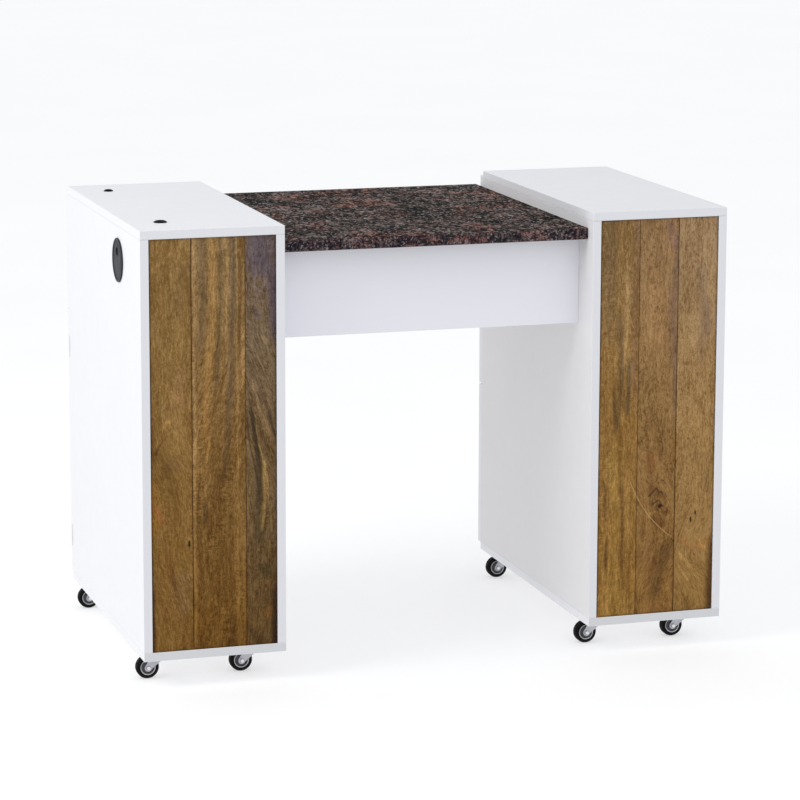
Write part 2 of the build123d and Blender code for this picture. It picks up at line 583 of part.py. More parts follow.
def caster_fork(x, y):
    """The swivelling fork with its kingpin and axle, for a wheel that trails towards -X."""
    axle = (x - CASTER_TRAIL, WHEEL_R)
    crown = rod("Z", RACE_R - 1, *CROWN_Z, (x, y))
    side = Polyline((7, CROWN_Z[1]), (-15, CROWN_Z[1]), (-CASTER_TRAIL - 7, WHEEL_R + 3), (-CASTER_TRAIL, WHEEL_R - 8))
    side += Polyline((-CASTER_TRAIL, WHEEL_R - 8), (-CASTER_TRAIL + 7, WHEEL_R - 2), (7, CROWN_Z[1]))
    profile = Plane(origin=(x, y, 0), x_dir=(1, 0, 0), z_dir=(0, -1, 0)) * make_face(side)
    fork = crown
    for way in (-1, 1):
        middle = way * (CHEEK_IN + CHEEK_T / 2)
        cheek = Pos(0, middle, 0) * extrude(profile, CHEEK_T / 2, both=True)
        boss = sorted((y + way * CHEEK_IN, y + way * (CHEEK_IN + CHEEK_T)))
        fork += cheek + rod("Y", 7.5, *boss, axle)
    bridge_xs = (x - 15.0, x + 7.0)
    reach = CHEEK_IN + CHEEK_T
    fork += block(bridge_xs, (y - reach, y + reach), CROWN_Z)
    fork += rod("Z", KINGPIN_R, CROWN_Z[0], CASTER_H - 1.0, (x, y))
    head_out = CHEEK_IN + CHEEK_T + 1.5
    fork += rod("Y", AXLE_R, y - head_out, y + head_out, axle)
    for way in (-1, 1):
        head = sorted((y + way * (CHEEK_IN + CHEEK_T), y + way * head_out))
        fork += rod("Y", AXLE_R + 1.5, *head, axle)
    return fork


def caster_wheel(x, y):
    """The hub and its tyre, for a wheel whose axle lies along Y."""
    axle = (x - CASTER_TRAIL, WHEEL_R)
    half = WHEEL_W / 2
    hub = rod("Y", HUB_R, y - half + 1.0, y + half - 1.0, axle)
    groove = tube("Y", HUB_R - 2.5, 6.5, y - half, y - half + 2.5, axle)
    groove += tube("Y", HUB_R - 2.5, 6.5, y + half - 2.5, y + half, axle)
    hub = hub - groove - rod("Y", AXLE_R + RUNNING, y - half, y + half, axle)
    tyre = rod("Y", WHEEL_R, y - half, y + half, axle)
    tyre = fillet(tyre.edges().filter_by(GeomType.CIRCLE), TYRE_EDGE)
    tyre -= rod("Y", HUB_R, y - half - 1, y + half + 1, axle)
    return [hub, tyre]


def casters():
    plates = []
    for name, (x, y) in caster_places().items():
        plates += caster_plate(x, y)
        parts[f"fork_{name}"] = caster_fork(x, y)
        parts[f"wheel_{name}"] = caster_wheel(x, y)
    parts["caster_plates"] = plates


# ---- build and write -----------------------------------------------------------------------------------
left_pedestal()
pedestal("right", RIGHT_OUTER, RIGHT_INNER, RIGHT_SEAMS)
hinges()
parts["left_door_knob"] = knob(GAP_LEFT - 32.0, DOOR_TOP_Z - 60.0)
drawers()
bridge()
filter_cassette()
switch()
fan()
duct()
top_fittings()
parts["bridge_bolts"] = bolt_set()
casters()

os.makedirs("parts", exist_ok=True)
for name, shape in parts.items():
    solids = [s for piece in (shape if isinstance(shape, list) else [shape]) for s in piece.solids()]
    export_step(solids[0] if len(solids) == 1 else Compound(children=solids), f"parts/{name}.step")
print(len(parts), "nodes")
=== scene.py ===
"""Looks of a two-pedestal manicure table: timber boards, white melamine, dark granite and casters.

Everything is in metres, in the part's own frame: +Z up, the client's side towards -Y.
"""

import json
import math

import bmesh
import bpy
import numpy as np
from mathutils import Matrix, Vector


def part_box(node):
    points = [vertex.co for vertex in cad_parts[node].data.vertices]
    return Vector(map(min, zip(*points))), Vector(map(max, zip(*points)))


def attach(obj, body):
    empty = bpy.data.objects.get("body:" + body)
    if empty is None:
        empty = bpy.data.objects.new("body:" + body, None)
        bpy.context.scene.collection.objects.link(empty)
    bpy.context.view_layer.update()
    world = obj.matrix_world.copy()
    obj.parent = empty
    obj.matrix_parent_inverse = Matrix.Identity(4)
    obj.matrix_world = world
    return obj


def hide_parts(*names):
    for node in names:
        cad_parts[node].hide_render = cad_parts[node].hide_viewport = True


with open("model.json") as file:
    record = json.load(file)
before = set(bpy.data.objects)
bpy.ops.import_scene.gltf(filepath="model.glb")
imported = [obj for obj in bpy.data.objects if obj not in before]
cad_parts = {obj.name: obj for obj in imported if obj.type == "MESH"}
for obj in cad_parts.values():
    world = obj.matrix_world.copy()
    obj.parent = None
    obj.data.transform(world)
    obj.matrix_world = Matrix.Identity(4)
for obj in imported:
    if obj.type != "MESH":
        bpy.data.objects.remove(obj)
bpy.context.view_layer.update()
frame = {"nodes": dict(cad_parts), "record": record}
MM = 0.001


def corners(node):
    low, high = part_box(node)
    return Vector(low), Vector(high)


# ---- colours and shader helpers ----
def srgb(red, green, blue):
    """A colour given as it looks on screen, from 0 to 255, as linear values."""
    def linear(value):
        value /= 255
        return value / 12.92 if value <= 0.04045 else ((value + 0.055) / 1.055) ** 2.4
    return (linear(red), linear(green), linear(blue), 1.0)


def toned(colour, factor):
    """A colour made darker or brighter."""
    return tuple(part * factor for part in colour[:3]) + (1,)


class Shader:
    """A material with one Principled shader, and short calls for the nodes that feed it."""

    def __init__(self, name, **values):
        self.material = bpy.data.materials.new(name)
        self.material.use_nodes = True
        self.tree = self.material.node_tree
        self.principled = self.tree.nodes["Principled BSDF"]
        for socket, value in values.items():
            self.principled.inputs[socket.replace("_", " ")].default_value = value

    def add(self, kind, inputs=None, **settings):
        node = self.tree.nodes.new("ShaderNode" + kind)
        for key, value in settings.items():
            setattr(node, key, value)
        for key, value in (inputs or {}).items():
            if isinstance(value, bpy.types.NodeSocket):
                self.tree.links.new(value, node.inputs[key])
            else:
                node.inputs[key].default_value = value
        return node

    def drive(self, socket, output):
        self.tree.links.new(output, self.principled.inputs[socket])

    def place(self):
        """The point's place on its own object, in metres."""
        return self.add("TexCoord").outputs["Object"]

    def facing(self):
        """The surface's direction on its own object."""
        return self.add("TexCoord").outputs["Normal"]

    def attribute(self, name, kind="Fac"):
        return self.add("Attribute", attribute_name=name).outputs[kind]

    def stretch(self, vector, scale, offset=(0, 0, 0)):
        return self.add("Mapping", {"Vector": vector, "Scale": scale, "Location": offset}).outputs[0]

    def noise(self, vector, scale, detail=2.0, roughness=0.5, distortion=0.0):
        values = {"Vector": vector, "Scale": scale, "Detail": detail, "Roughness": roughness,
                  "Distortion": distortion}
        return self.add("TexNoise", values).outputs["Fac"]

    def cells(self, vector, scale, axis):
        """One number for each cell of a random pattern: the part of its random colour along an axis."""
        return self.part(self.add("TexVoronoi", {"Vector": vector, "Scale": scale}).outputs["Color"], axis)

    def maths(self, operation, a, b=0.0):
        return self.add("Math", {0: a, 1: b}, operation=operation).outputs[0]

    def plus(self, a, b):
        return self.maths("ADD", a, b)

    def times(self, a, b):
        return self.maths("MULTIPLY", a, b)

    def apart(self, a, b):
        return self.maths("ABSOLUTE", self.maths("SUBTRACT", a, b))

    def weigh(self, value, middle, weight):
        """How far a value is over its middle, times a weight."""
        return self.times(self.maths("SUBTRACT", value, middle), weight)

    def vector_maths(self, operation, a, b):
        return self.add("VectorMath", {0: a, 1: b}, operation=operation).outputs[0]

    def scaled(self, vector, amount):
        return self.add("VectorMath", {0: vector, "Scale": amount}, operation="SCALE").outputs[0]

    def remap(self, value, low, high, to_low=0.0, to_high=1.0):
        values = {"Value": value, "From Min": low, "From Max": high, "To Min": to_low, "To Max": to_high}
        return self.add("MapRange", values, interpolation_type="SMOOTHSTEP").outputs[0]

    def mix(self, amount, a, b):
        return self.add("Mix", {0: amount, 6: a, 7: b}, data_type="RGBA").outputs[2]

    def ramp(self, value, stops):
        node = self.add("ValToRGB", {0: value})
        points = node.color_ramp.elements
        while len(points) < len(stops):
            points.new(0.5)
        for point, (position, colour) in zip(points, stops):
            point.position = position
            point.color = colour
        return node.outputs[0]

    def bump(self, height, distance, strength):
        values = {"Height": height, "Distance": distance, "Strength": strength}
        self.drive("Normal", self.add("Bump", values).outputs[0])

    def part(self, vector, axis):
        return self.add("SeparateXYZ", {0: vector}).outputs[axis]


# ---- materials ----
def melamine(name, face, shade_towards_y, joints=()):
    """Melamine-faced board: a fine pebble, faint clouding, and painted shade: darker, cooler edge bands and
    thin lines at its joints.
    """
    m = Shader(name, Specular_IOR_Level=0.3)
    place = m.place()
    cloud = m.noise(place, 7.0, 3.0, 0.6)
    pebble = m.noise(place, 900.0, 2.0, 0.6)
    look = m.ramp(cloud, [(0.3, toned(face, 0.985)), (0.7, face)])
    across = m.maths("ABSOLUTE", m.part(m.facing(), "Y"))
    # faces towards ±Y take the darker, cooler white: painted shade on the edge bands and on the fronts of the
    # face boards
    look = m.mix(m.remap(across, 0.85, 0.98), look, shade_towards_y)
    height = m.part(place, "Z")
    # thin grey lines at the panels' joints: painted shade in the creases, stronger on faces towards ±Y
    for level in joints:
        off = m.apart(height, level)
        line = m.times(m.remap(off, 0.0013, 0.0004), m.remap(across, 0.85, 0.98, 0.12, 0.5))
        look = m.mix(line, look, srgb(168, 170, 178))
    m.drive("Base Color", look)
    m.drive("Roughness", m.remap(m.noise(place, 60.0, 3.0), 0.3, 0.7, 0.38, 0.5))
    m.bump(pebble, 0.00006, 0.5)
    return m.material


def granite():
    """Polished multicolour granite: black and green-black mica, brown and rusty feldspar, pale specks, and a
    painted sheen on its edges.
    """
    m = Shader("granite", Specular_IOR_Level=0.0, Coat_Weight=0.04, Coat_Roughness=0.12)
    front = m.remap(m.maths("ABSOLUTE", m.part(m.facing(), "Y")), 0.6, 0.8, 1.0, 1.5)
    place = m.stretch(m.place(), (1.0, 0.6, 1.0))
    place = m.scaled(place, front)
    wander = m.add("TexNoise", {"Vector": place, "Scale": 60.0, "Detail": 4.0}).outputs["Color"]
    wander = m.vector_maths("SUBTRACT", wander, (0.5, 0.5, 0.5))
    shaken = m.vector_maths("ADD", place, m.scaled(wander, 0.016))
    crystals = m.cells(shaken, 120.0, "X")
    grains = m.cells(shaken, 240.0, "Y")
    drift = m.noise(m.stretch(place, (1, 1.6, 1)), 9.0, 3.0, 0.6, 0.8)
    value = m.times(crystals, 0.55)
    value = m.plus(value, m.times(grains, 0.45))
    value = m.plus(value, m.weigh(drift, 0.5, 1.2))
    plain = m.ramp(value, [
        (0.16, srgb(9, 10, 11)),
        (0.40, srgb(42, 40, 38)),
        (0.56, srgb(72, 64, 60)),
        (0.74, srgb(102, 84, 78)),
        (0.98, srgb(140, 122, 118)),
    ])
    rusty = m.ramp(value, [
        (0.16, srgb(16, 12, 12)),
        (0.40, srgb(58, 40, 37)),
        (0.58, srgb(108, 72, 62)),
        (0.95, srgb(156, 114, 102)),
    ])
    patch = m.remap(m.noise(m.stretch(place, (1, 1.3, 1), (3, 1, 0)), 6.0, 4.0, 0.6, 1.2), 0.46, 0.62)
    fleck = m.cells(shaken, 170.0, "Z")
    red = m.remap(m.plus(m.times(patch, 0.6), m.times(fleck, 0.6)), 0.6, 0.75)
    stone = m.mix(red, plain, rusty)
    mica = m.remap(m.cells(place, 270.0, "X"), 0.66, 0.72)
    stone = m.mix(m.times(mica, 0.85), stone, srgb(12, 14, 14))
    specks = m.remap(m.cells(shaken, 300.0, "Z"), 0.9, 0.93)
    stone = m.mix(m.times(specks, 0.45), stone, srgb(180, 170, 166))
    # faces towards ±Y are mixed with a purplish grey: painted sheen on the slab's front and back edges
    stone = m.mix(m.remap(front, 1.0, 1.5, 0.0, 0.3), stone, srgb(48, 42, 56))
    m.drive("Base Color", stone)
    m.drive("Roughness", m.remap(grains, 0.0, 1.0, 0.28, 0.4))
    m.bump(grains, 0.00003, 0.35)
    return m.material


PAINTED_LIGHT_HEIGHTS = (0.06, 0.5, 0.94)  # shares of a board's height where its painted light and sheen are given


def timber(name, look, height, scratch):
    """Oiled rustic hardwood. The board's mesh carries the lie of its grain, its knots, its stains and its
    painted edge shade.
    """
    light, mid, dark = (srgb(*tone) for tone in look["tones"])
    fibre, ripple, figure = look["figure"]
    m = Shader(name, Specular_IOR_Level=0.05)
    grain = m.attribute("grain", "Vector")
    tint = m.add("Attribute", attribute_name="tint")

    def texture(across, along, detail, roughness=0.5, distortion=0.0, offset=(0, 0, 0)):
        """Noise laid along the grain, with so many waves in a metre across it and along it."""
        return m.noise(m.stretch(grain, (across, along, 1), offset), 1.0, detail, roughness, distortion)

    clouds = texture(22, 5, 4.0, 0.6, 0.6)
    bands = texture(95, 4, 4.0, 0.6, 0.4)
    blotch = texture(150, 50, 5.0, 0.7, 1.4)
    fine = texture(300, 46, 5.0, 0.75, 0.5)
    speck = texture(260, 150, 3.0, 0.7, 0.8)
    thread = m.apart(texture(170, 26, 3.0, 0.6, 1.8), 0.5)
    ticks = texture(110, 330, 3.0, 0.6, 0.5)
    tick_zone = m.remap(texture(36, 7, 2.0, offset=(7, 3, 1)), 0.5, 0.62)
    pores = m.remap(texture(1500, 110, 2.0), 0.6, 0.7)
    value = m.plus(0.1, m.times(clouds, 0.8))
    for extra, weight in ((bands, fibre * 0.8), (blotch, figure * 0.8), (fine, 1.2), (speck, 1.0)):
        value = m.plus(value, m.weigh(extra, 0.5, weight))
    value = m.maths("SUBTRACT", value, m.remap(thread, 0.026, 0.0, 0.0, 0.28))
    value = m.plus(value, m.times(m.weigh(ticks, 0.5, ripple * 3), tick_zone))
    wood = m.ramp(value, [(0.18, dark), (0.48, mid), (0.72, light), (0.95, toned(light, 1.25))])
    ragged = m.plus(m.weigh(bands, 0.5, 0.6), m.weigh(blotch, 0.5, 0.6))
    amount = m.plus(tint.outputs["Alpha"], m.times(ragged, 1.1))
    amount = m.times(m.remap(amount, 0.08, 0.95), 0.92)
    amount = m.times(amount, m.remap(tint.outputs["Alpha"], 0.02, 0.2))
    stain = m.scaled(tint.outputs["Color"], m.remap(value, 0.15, 0.85, 0.62, 1.38))
    wood = m.mix(amount, wood, stain)
    share = m.maths("DIVIDE", m.part(grain, "Y"), height)
    # painted light and sheen: the wood is tinted yellower at the foot and bluer at the top. A ramp's colours
    # stop at 1, so it holds half of this tint
    colour_layer = m.ramp(share, [(up, toned(colour, 0.5)) for up, colour in zip(PAINTED_LIGHT_HEIGHTS, look["painted_light"])])
    wood = m.vector_maths("MULTIPLY", wood, m.scaled(colour_layer, 2.0))
    wood = m.mix(m.times(pores, 0.3), wood, srgb(56, 38, 22))
    heart = m.remap(m.plus(m.attribute("knot"), m.times(ragged, 0.5)), 0.3, 0.8)
    wood = m.mix(m.times(heart, 0.93), wood, srgb(30, 20, 16))
    # painted shade at the boards' sides and ends, read from the rim attribute
    wood = m.mix(m.times(m.attribute("rim"), 0.68), wood, srgb(44, 26, 16))
    if scratch:
        wood = m.mix(arc_mark(m, *scratch), wood, srgb(178, 142, 92))
    m.drive("Base Color", wood)
    m.drive("Roughness", m.remap(fine, 0.3, 0.7, 0.46, 0.62))
    relief = m.plus(m.times(fine, 0.7), m.times(pores, -0.6))
    m.bump(relief, 0.0002, 0.6)
    return m.material


def arc_mark(m, centre, radius, low, high):
    """How much a point lies on a thin curved scratch in the boards' face, between two heights."""
    place = m.place()
    flat = m.add("CombineXYZ", {0: m.part(place, "X"), 2: m.part(place, "Z")}).outputs[0]
    reach = m.add("VectorMath", {0: flat, 1: centre}, operation="DISTANCE").outputs["Value"]
    line = m.remap(m.apart(reach, radius), 0.0011, 0.0003)
    height = m.part(place, "Z")
    inside = m.times(m.remap(height, low, low + 0.02), m.remap(height, high, high - 0.02))
    return m.times(m.times(line, inside), 0.8)


def plastic(name, colour, roughness, grain=1400.0, depth=0.00004, streak=0.06, shine=0.45):
    """Moulded plastic with a fine spark-eroded texture and slight unevenness."""
    m = Shader(name, Specular_IOR_Level=shine)
    place = m.place()
    cloud = m.noise(place, 90.0, 3.0)
    m.drive("Base Color", m.ramp(cloud, [(0.3, toned(colour, 1 - streak * 3)), (0.7, colour)]))
    m.drive("Roughness", m.remap(cloud, 0.3, 0.7, roughness - 0.06, roughness + 0.06))
    m.bump(m.noise(place, grain, 2.0, 0.6), depth, 0.6)
    return m.material


def rubber():
    m = Shader("caster_tyre", Specular_IOR_Level=0.1)
    place = m.place()
    dust = m.remap(m.noise(place, 160.0, 4.0, 0.7), 0.5, 0.8)
    m.drive("Base Color", m.mix(m.times(dust, 0.35), srgb(8, 8, 9), srgb(26, 26, 25)))
    m.drive("Roughness", m.remap(dust, 0.0, 1.0, 0.42, 0.62))
    m.bump(m.noise(place, 1200.0, 2.0), 0.00005, 0.5)
    return m.material


def metal(name, colour, roughness, lines=(1, 1, 1), wear=0.12):
    """Plated or turned metal. lines stretches its fine polishing marks along one axis."""
    m = Shader(name, Metallic=1.0)
    place = m.place()
    marks = m.noise(m.stretch(place, lines), 700.0, 3.0, 0.6)
    cloud = m.noise(place, 60.0, 4.0, 0.6)
    m.drive("Base Color", m.ramp(cloud, [(0.35, toned(colour, 1 - wear * 2)), (0.65, colour)]))
    worn = m.remap(cloud, 0.3, 0.7, roughness, roughness + 0.1)
    m.drive("Roughness", m.plus(worn, m.times(marks, 0.08)))
    m.bump(marks, 0.00002, 0.4)
    return m.material


def softwood():
    m = Shader("softwood", Specular_IOR_Level=0.3)
    place = m.place()
    rings = m.noise(m.stretch(place, (260, 5, 200)), 1.0, 3.0, 0.5)
    fine = m.noise(m.stretch(place, (1500, 30, 1500)), 1.0, 2.0)
    m.drive("Base Color", m.ramp(rings, [(0.35, srgb(196, 160, 112)), (0.62, srgb(222, 190, 142))]))
    m.drive("Roughness", m.remap(fine, 0.3, 0.7, 0.55, 0.7))
    m.bump(fine, 0.0001, 0.5)
    return m.material


def filter_paper():
    m = Shader("filter_paper", Roughness=0.9, Specular_IOR_Level=0.15, Sheen_Weight=0.2)
    place = m.place()
    fibres = m.noise(m.stretch(place, (1, 1, 0.4)), 1800.0, 3.0, 0.7)
    m.drive("Base Color", m.ramp(fibres, [(0.3, srgb(206, 202, 190)), (0.7, srgb(232, 229, 220))]))
    m.bump(fibres, 0.00012, 0.7)
    return m.material


def drawer_board(half_width, centre_x, white, steel):
    """White board for the drawer boxes, and zinc-plated steel for the runner strips on their sides."""
    m = Shader("drawer_box", Specular_IOR_Level=0.38)
    place = m.place()
    out = m.apart(m.part(place, "X"), centre_x)
    strip = m.remap(out, half_width - 0.0001, half_width + 0.0001)
    marks = m.noise(m.stretch(place, (1, 0.02, 1)), 900.0, 3.0)
    m.drive("Base Color", m.mix(strip, white, steel))
    m.drive("Metallic", strip)
    m.drive("Roughness", m.remap(marks, 0.3, 0.7, 0.36, 0.48))
    m.bump(marks, 0.00003, 0.4)
    return m.material


# the melamine's whites: its faces, then darker whites as painted shade for the panels towards the sitters,
# the edge bands, those of the two bottom panels, and the right pedestal's side towards the knees
WHITE = srgb(233, 233, 236)
SHADED_FACE = srgb(228, 228, 235)
SHADED_BAND = srgb(219, 219, 223)
SHADED_LOW_BAND = srgb(206, 207, 210)
SHADED_INNER = srgb(227, 225, 226)
DARK_PLASTIC = srgb(50, 51, 56)


# ---- mesh helpers ----
SHARP = math.radians(35)


def piece(name, mesh, body, material, replaces=()):
    """Puts a finished mesh in the scene as a piece that rides on a body."""
    mesh.shade_smooth()
    mesh.set_sharp_from_angle(angle=SHARP)
    mesh.materials.append(material)
    made = bpy.data.objects.new(name, mesh)
    bpy.context.collection.objects.link(made)
    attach(made, body)
    for node in replaces:
        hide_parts(node)
    return made


def from_bmesh(name, made):
    bmesh.ops.recalc_face_normals(made, faces=made.faces)
    mesh = bpy.data.meshes.new(name)
    made.to_mesh(mesh)
    made.free()
    return mesh


def rounded(profile, radius, steps=4):
    """The corners of a closed outline rounded off. A point may carry its own radius as a third value."""
    smoothed = []
    count = len(profile)
    for i, point in enumerate(profile):
        here = Vector(point[:2])
        size = point[2] if len(point) > 2 else radius
        before = Vector(profile[i - 1][:2]) - here
        after = Vector(profile[(i + 1) % count][:2]) - here
        half = before.angle(after) / 2
        size = min(size, 0.45 * min(before.length, after.length) * math.tan(half))
        if size < 1e-6 or half > math.radians(89):
            smoothed.append(here)
            continue
        reach = size / math.tan(half)
        start = here + before.normalized() * reach
        end = here + after.normalized() * reach
        middle = here + (before.normalized() + after.normalized()).normalized() * size / math.sin(half)
        first = start - middle
        turn = first.angle_signed(end - middle)
        for step in range(steps + 1):
            angle = -turn * step / steps
            spun = Matrix.Rotation(angle, 2) @ first
            smoothed.append(middle + spun)
    return smoothed


def lathe(name, profile, centre, axis, steps=64):
    """A closed outline of (radius, distance along the axis), spun round an axis through centre."""
    made = bmesh.new()
    along = Vector(axis).normalized()
    side = along.orthogonal().normalized()
    other = along.cross(side)
    rings = []
    for step in range(steps):
        angle = 2 * math.pi * step / steps
        out = side * math.cos(angle) + other * math.sin(angle)
        rings.append([made.verts.new(Vector(centre) + out * r + along * h) for r, h in profile])
    count = len(profile)
    for step in range(steps):
        here, there = rings[step], rings[(step + 1) % steps]
        for i in range(count):
            j = (i + 1) % count
            if profile[i][0] < 1e-7 and profile[j][0] < 1e-7:
                continue
            made.faces.new((here[i], here[j], there[j], there[i]))
    bmesh.ops.remove_doubles(made, verts=made.verts, dist=1e-7)
    bmesh.ops.dissolve_degenerate(made, edges=made.edges, dist=1e-8)
    return from_bmesh(name, made)


def plate(outline, thickness, place, bevel):
    """A flat plate in a bmesh: a 2-D outline as thick as given, bevelled, then placed."""
    made = bmesh.new()
    points = [made.verts.new((x, y, 0)) for x, y in outline]
    edges = [made.edges.new((a, b)) for a, b in zip(points, points[1:] + points[:1])]
    bmesh.ops.triangle_fill(made, edges=edges, use_beauty=True)
    bmesh.ops.dissolve_limit(made, angle_limit=0.01, verts=made.verts, edges=made.edges)
    grown = bmesh.ops.extrude_face_region(made, geom=made.faces[:])
    lifted = [v for v in grown["geom"] if isinstance(v, bmesh.types.BMVert)]
    bmesh.ops.translate(made, verts=lifted, vec=(0, 0, thickness))
    bmesh.ops.recalc_face_normals(made, faces=made.faces)
    rims = [e for e in made.edges if e.calc_face_angle(0) > 0.9]
    bmesh.ops.bevel(made, geom=rims, offset=bevel, segments=2, affect="EDGES", clamp_overlap=True)
    bmesh.ops.transform(made, matrix=place, verts=made.verts)
    return made


def mirrored(points):
    """A lathe outline's points, mirrored in the plane through its middle and taken in the other order."""
    return [(radius, -y, *rounding) for radius, y, *rounding in reversed(points)]


def join(name, bits):
    """Several bmeshes or meshes as one mesh."""
    made = bmesh.new()
    for bit in bits:
        if isinstance(bit, bmesh.types.BMesh):
            part = bpy.data.meshes.new("part")
            bit.to_mesh(part)
            bit.free()
            bit = part
        made.from_mesh(bit)
        bpy.data.meshes.remove(bit)
    mesh = bpy.data.meshes.new(name)
    made.to_mesh(mesh)
    made.free()
    return mesh


# ---- timber boards ----
CHAMFER = 0.9 * MM
PITCH = 2.0 * MM  # between the mesh's rows of points
UNEVEN = 0.1 * MM  # how far a planed face wanders in and out
KNOT_DIP = 0.3 * MM
MOST_DIP = 0.7 * MM
END_SHADE = 2.4 * MM  # width of the painted shade at a board's foot and top


def steps_between(low, high, edge):
    """Even places between two values, with a few close together at either end for a rounded edge."""
    count = max(2, round((high - low) / PITCH))
    inner = np.linspace(low + edge * 1.5, high - edge * 1.5, count)
    close = np.array([0, 0.25, 0.55, 1.0]) * edge
    return np.concatenate([low + close, inner, (high - close)[::-1]])


def waves(across, along, seed, fine=1.0):
    """Smooth wandering values, about -1 to 1, from a few sine waves: the same on every run."""
    rng = np.random.default_rng(seed)
    total = np.zeros_like(across)
    for _ in range(7):
        fx, fy = rng.uniform(8, 60) * fine, rng.uniform(3, 20) * fine
        phase = rng.uniform(0, 2 * np.pi)
        total += np.sin(across * fx + along * fy * rng.choice((-1, 1)) + phase) / (1 + 0.1 * fy / fine)
    return total / 3


def distance_to_path(across, along, path):
    """How far each point is from a path of straight runs, in metres, and a fade towards its two ends."""
    nearest = np.full_like(across, 9.0)
    fade = np.zeros_like(across)
    runs = [math.dist(a, b) for a, b in zip(path, path[1:])]
    done = 0.0
    for (ax, ay), (bx, by), run in zip(path, path[1:], runs):
        dx, dy = bx - ax, by - ay
        share = np.clip(((across - ax) * dx + (along - ay) * dy) / (run * run), 0, 1)
        far = np.hypot(across - ax - share * dx, along - ay - share * dy)
        place = (done + share * run) / sum(runs)
        done += run
        fade = np.where(far < nearest, np.clip(np.minimum(place, 1 - place) * 4.5, 0, 1), fade)
        nearest = np.minimum(nearest, far)
    return nearest, np.sqrt(fade * (2 - fade))


def grain_and_knots(u, t, width, height, look, seed):
    """How far each point lies across the grain, how much of a knot it is, and how deep the face dips."""
    wander = look["wander"]
    grain = u + wander * waves(u * 0.3, t, seed) + 0.4 * wander * waves(u, t, seed + 1, 2.2)
    for share, lean, reach in look.get("leans", ()):
        grain += lean * reach * MM * np.tanh((t - share * height) / (reach * MM))
    knot = np.zeros_like(u)
    dip = UNEVEN * (1 + waves(u, t, seed + 2))
    for share_across, share_up, radius, stretch, strength in look["knots"]:
        radius *= MM
        across, along = u - width * share_across, t - height * share_up
        far = (across / (3 * radius)) ** 2 + (along / (3 * stretch * radius)) ** 2
        grain -= across * 0.8 * np.exp(-far)
        near = (across / radius) ** 2 + (along / (stretch * radius)) ** 2
        knot = np.maximum(knot, strength * np.exp(-near * 0.8))
        dip += KNOT_DIP * strength * np.exp(-near)
    return grain, knot, dip


def stain_colours(u, t, width, height, look, seed):
    """The stains' colour at each point, and how much they cover the wood there."""
    colour = np.zeros(u.shape + (3,))
    cover = np.zeros_like(u)
    shaken_u = u + 1.5 * MM * waves(u, t, seed + 3, 4.0) + 0.8 * MM * waves(u, t, seed + 5, 12.0)
    shaken_t = t + 6.0 * MM * waves(u, t, seed + 4, 3.0) + 4.0 * MM * waves(u, t, seed + 6, 10.0)
    for path, reach, strength, shade in look["stains"]:
        far, fade = distance_to_path(shaken_u, shaken_t, [(a * width, b * height) for a, b in path])
        amount = strength * fade * np.exp(-((far / (reach * MM * (0.55 + 0.55 * fade))) ** 2))
        colour = colour * (1 - amount[..., None]) + np.array(srgb(*shade)[:3]) * amount[..., None]
        cover = cover + amount - cover * amount
    return colour / np.maximum(cover, 1e-4)[..., None], cover


def board_mesh(name, low, high, look, seed):
    """A board whose face dips at its edges and knots, with its grain, knots, stains and painted edge shade
    stored on it.
    """
    width, height = high.x - low.x, high.z - low.z
    xs = steps_between(low.x, high.x, CHAMFER)
    zs = steps_between(low.z, high.z, CHAMFER)
    x, z = np.meshgrid(xs, zs)
    sides = np.minimum(x - low.x, high.x - x)
    ends = np.minimum(z - low.z, high.z - z)
    u, t = x - low.x, z - low.z
    grain, knot, dip = grain_and_knots(u, t, width, height, look, seed)
    colour, cover = stain_colours(u, t, width, height, look, seed)

    nearest = np.minimum(sides, ends)
    fall = np.clip(1 - nearest / CHAMFER, 0, 1)
    depth = np.clip(dip, 0.02 * MM, MOST_DIP) + CHAMFER * 0.7 * (1 - np.sqrt(np.clip(1 - fall ** 2, 0, 1)))
    rows, columns = x.shape
    front = np.stack([x, low.y + depth, z], axis=-1).reshape(-1, 3)
    index = np.arange(rows * columns).reshape(rows, columns)
    quads = np.stack([index[:-1, :-1], index[:-1, 1:], index[1:, 1:], index[1:, :-1]], axis=-1).reshape(-1, 4)
    rim = list(index[0, :]) + list(index[1:, -1]) + list(index[-1, -2::-1]) + list(index[-2:0:-1, 0])
    back = front[rim].copy()
    back[:, 1] = high.y
    start, count = len(front), len(rim)
    faces = quads.tolist()
    for i in range(count):
        j = (i + 1) % count
        faces.append((int(rim[j]), int(rim[i]), start + i, start + j))
    faces.append(tuple(range(start + count - 1, start - 1, -1)))
    made = bpy.data.meshes.new(name)
    made.from_pydata(np.concatenate([front, back]).tolist(), [], faces)

    def store(key, kind, field, values):
        values = values.reshape(start, -1)
        values = np.concatenate([values, values[rim]])
        stored = made.attributes.new(key, kind, "POINT")
        stored.data.foreach_set(field, values.astype(np.float32).ravel())

    store("grain", "FLOAT_VECTOR", "vector", np.stack([grain, t, np.full_like(t, seed * 1.7)], axis=-1))
    store("tint", "FLOAT_COLOR", "color", np.concatenate([colour, cover[..., None]], axis=-1))
    store("knot", "FLOAT", "value", knot)
    # painted shade along the boards' sides and ends, where the recessed panel meets its frame, with dark seam
    # lines between the boards
    near_side = np.where(u < width / 2, look["rims"][0], look["rims"][1])
    shade = np.maximum(np.exp(-sides / (near_side * MM)), np.exp(-ends / END_SHADE))
    store("rim", "FLOAT", "value", shade)
    return made
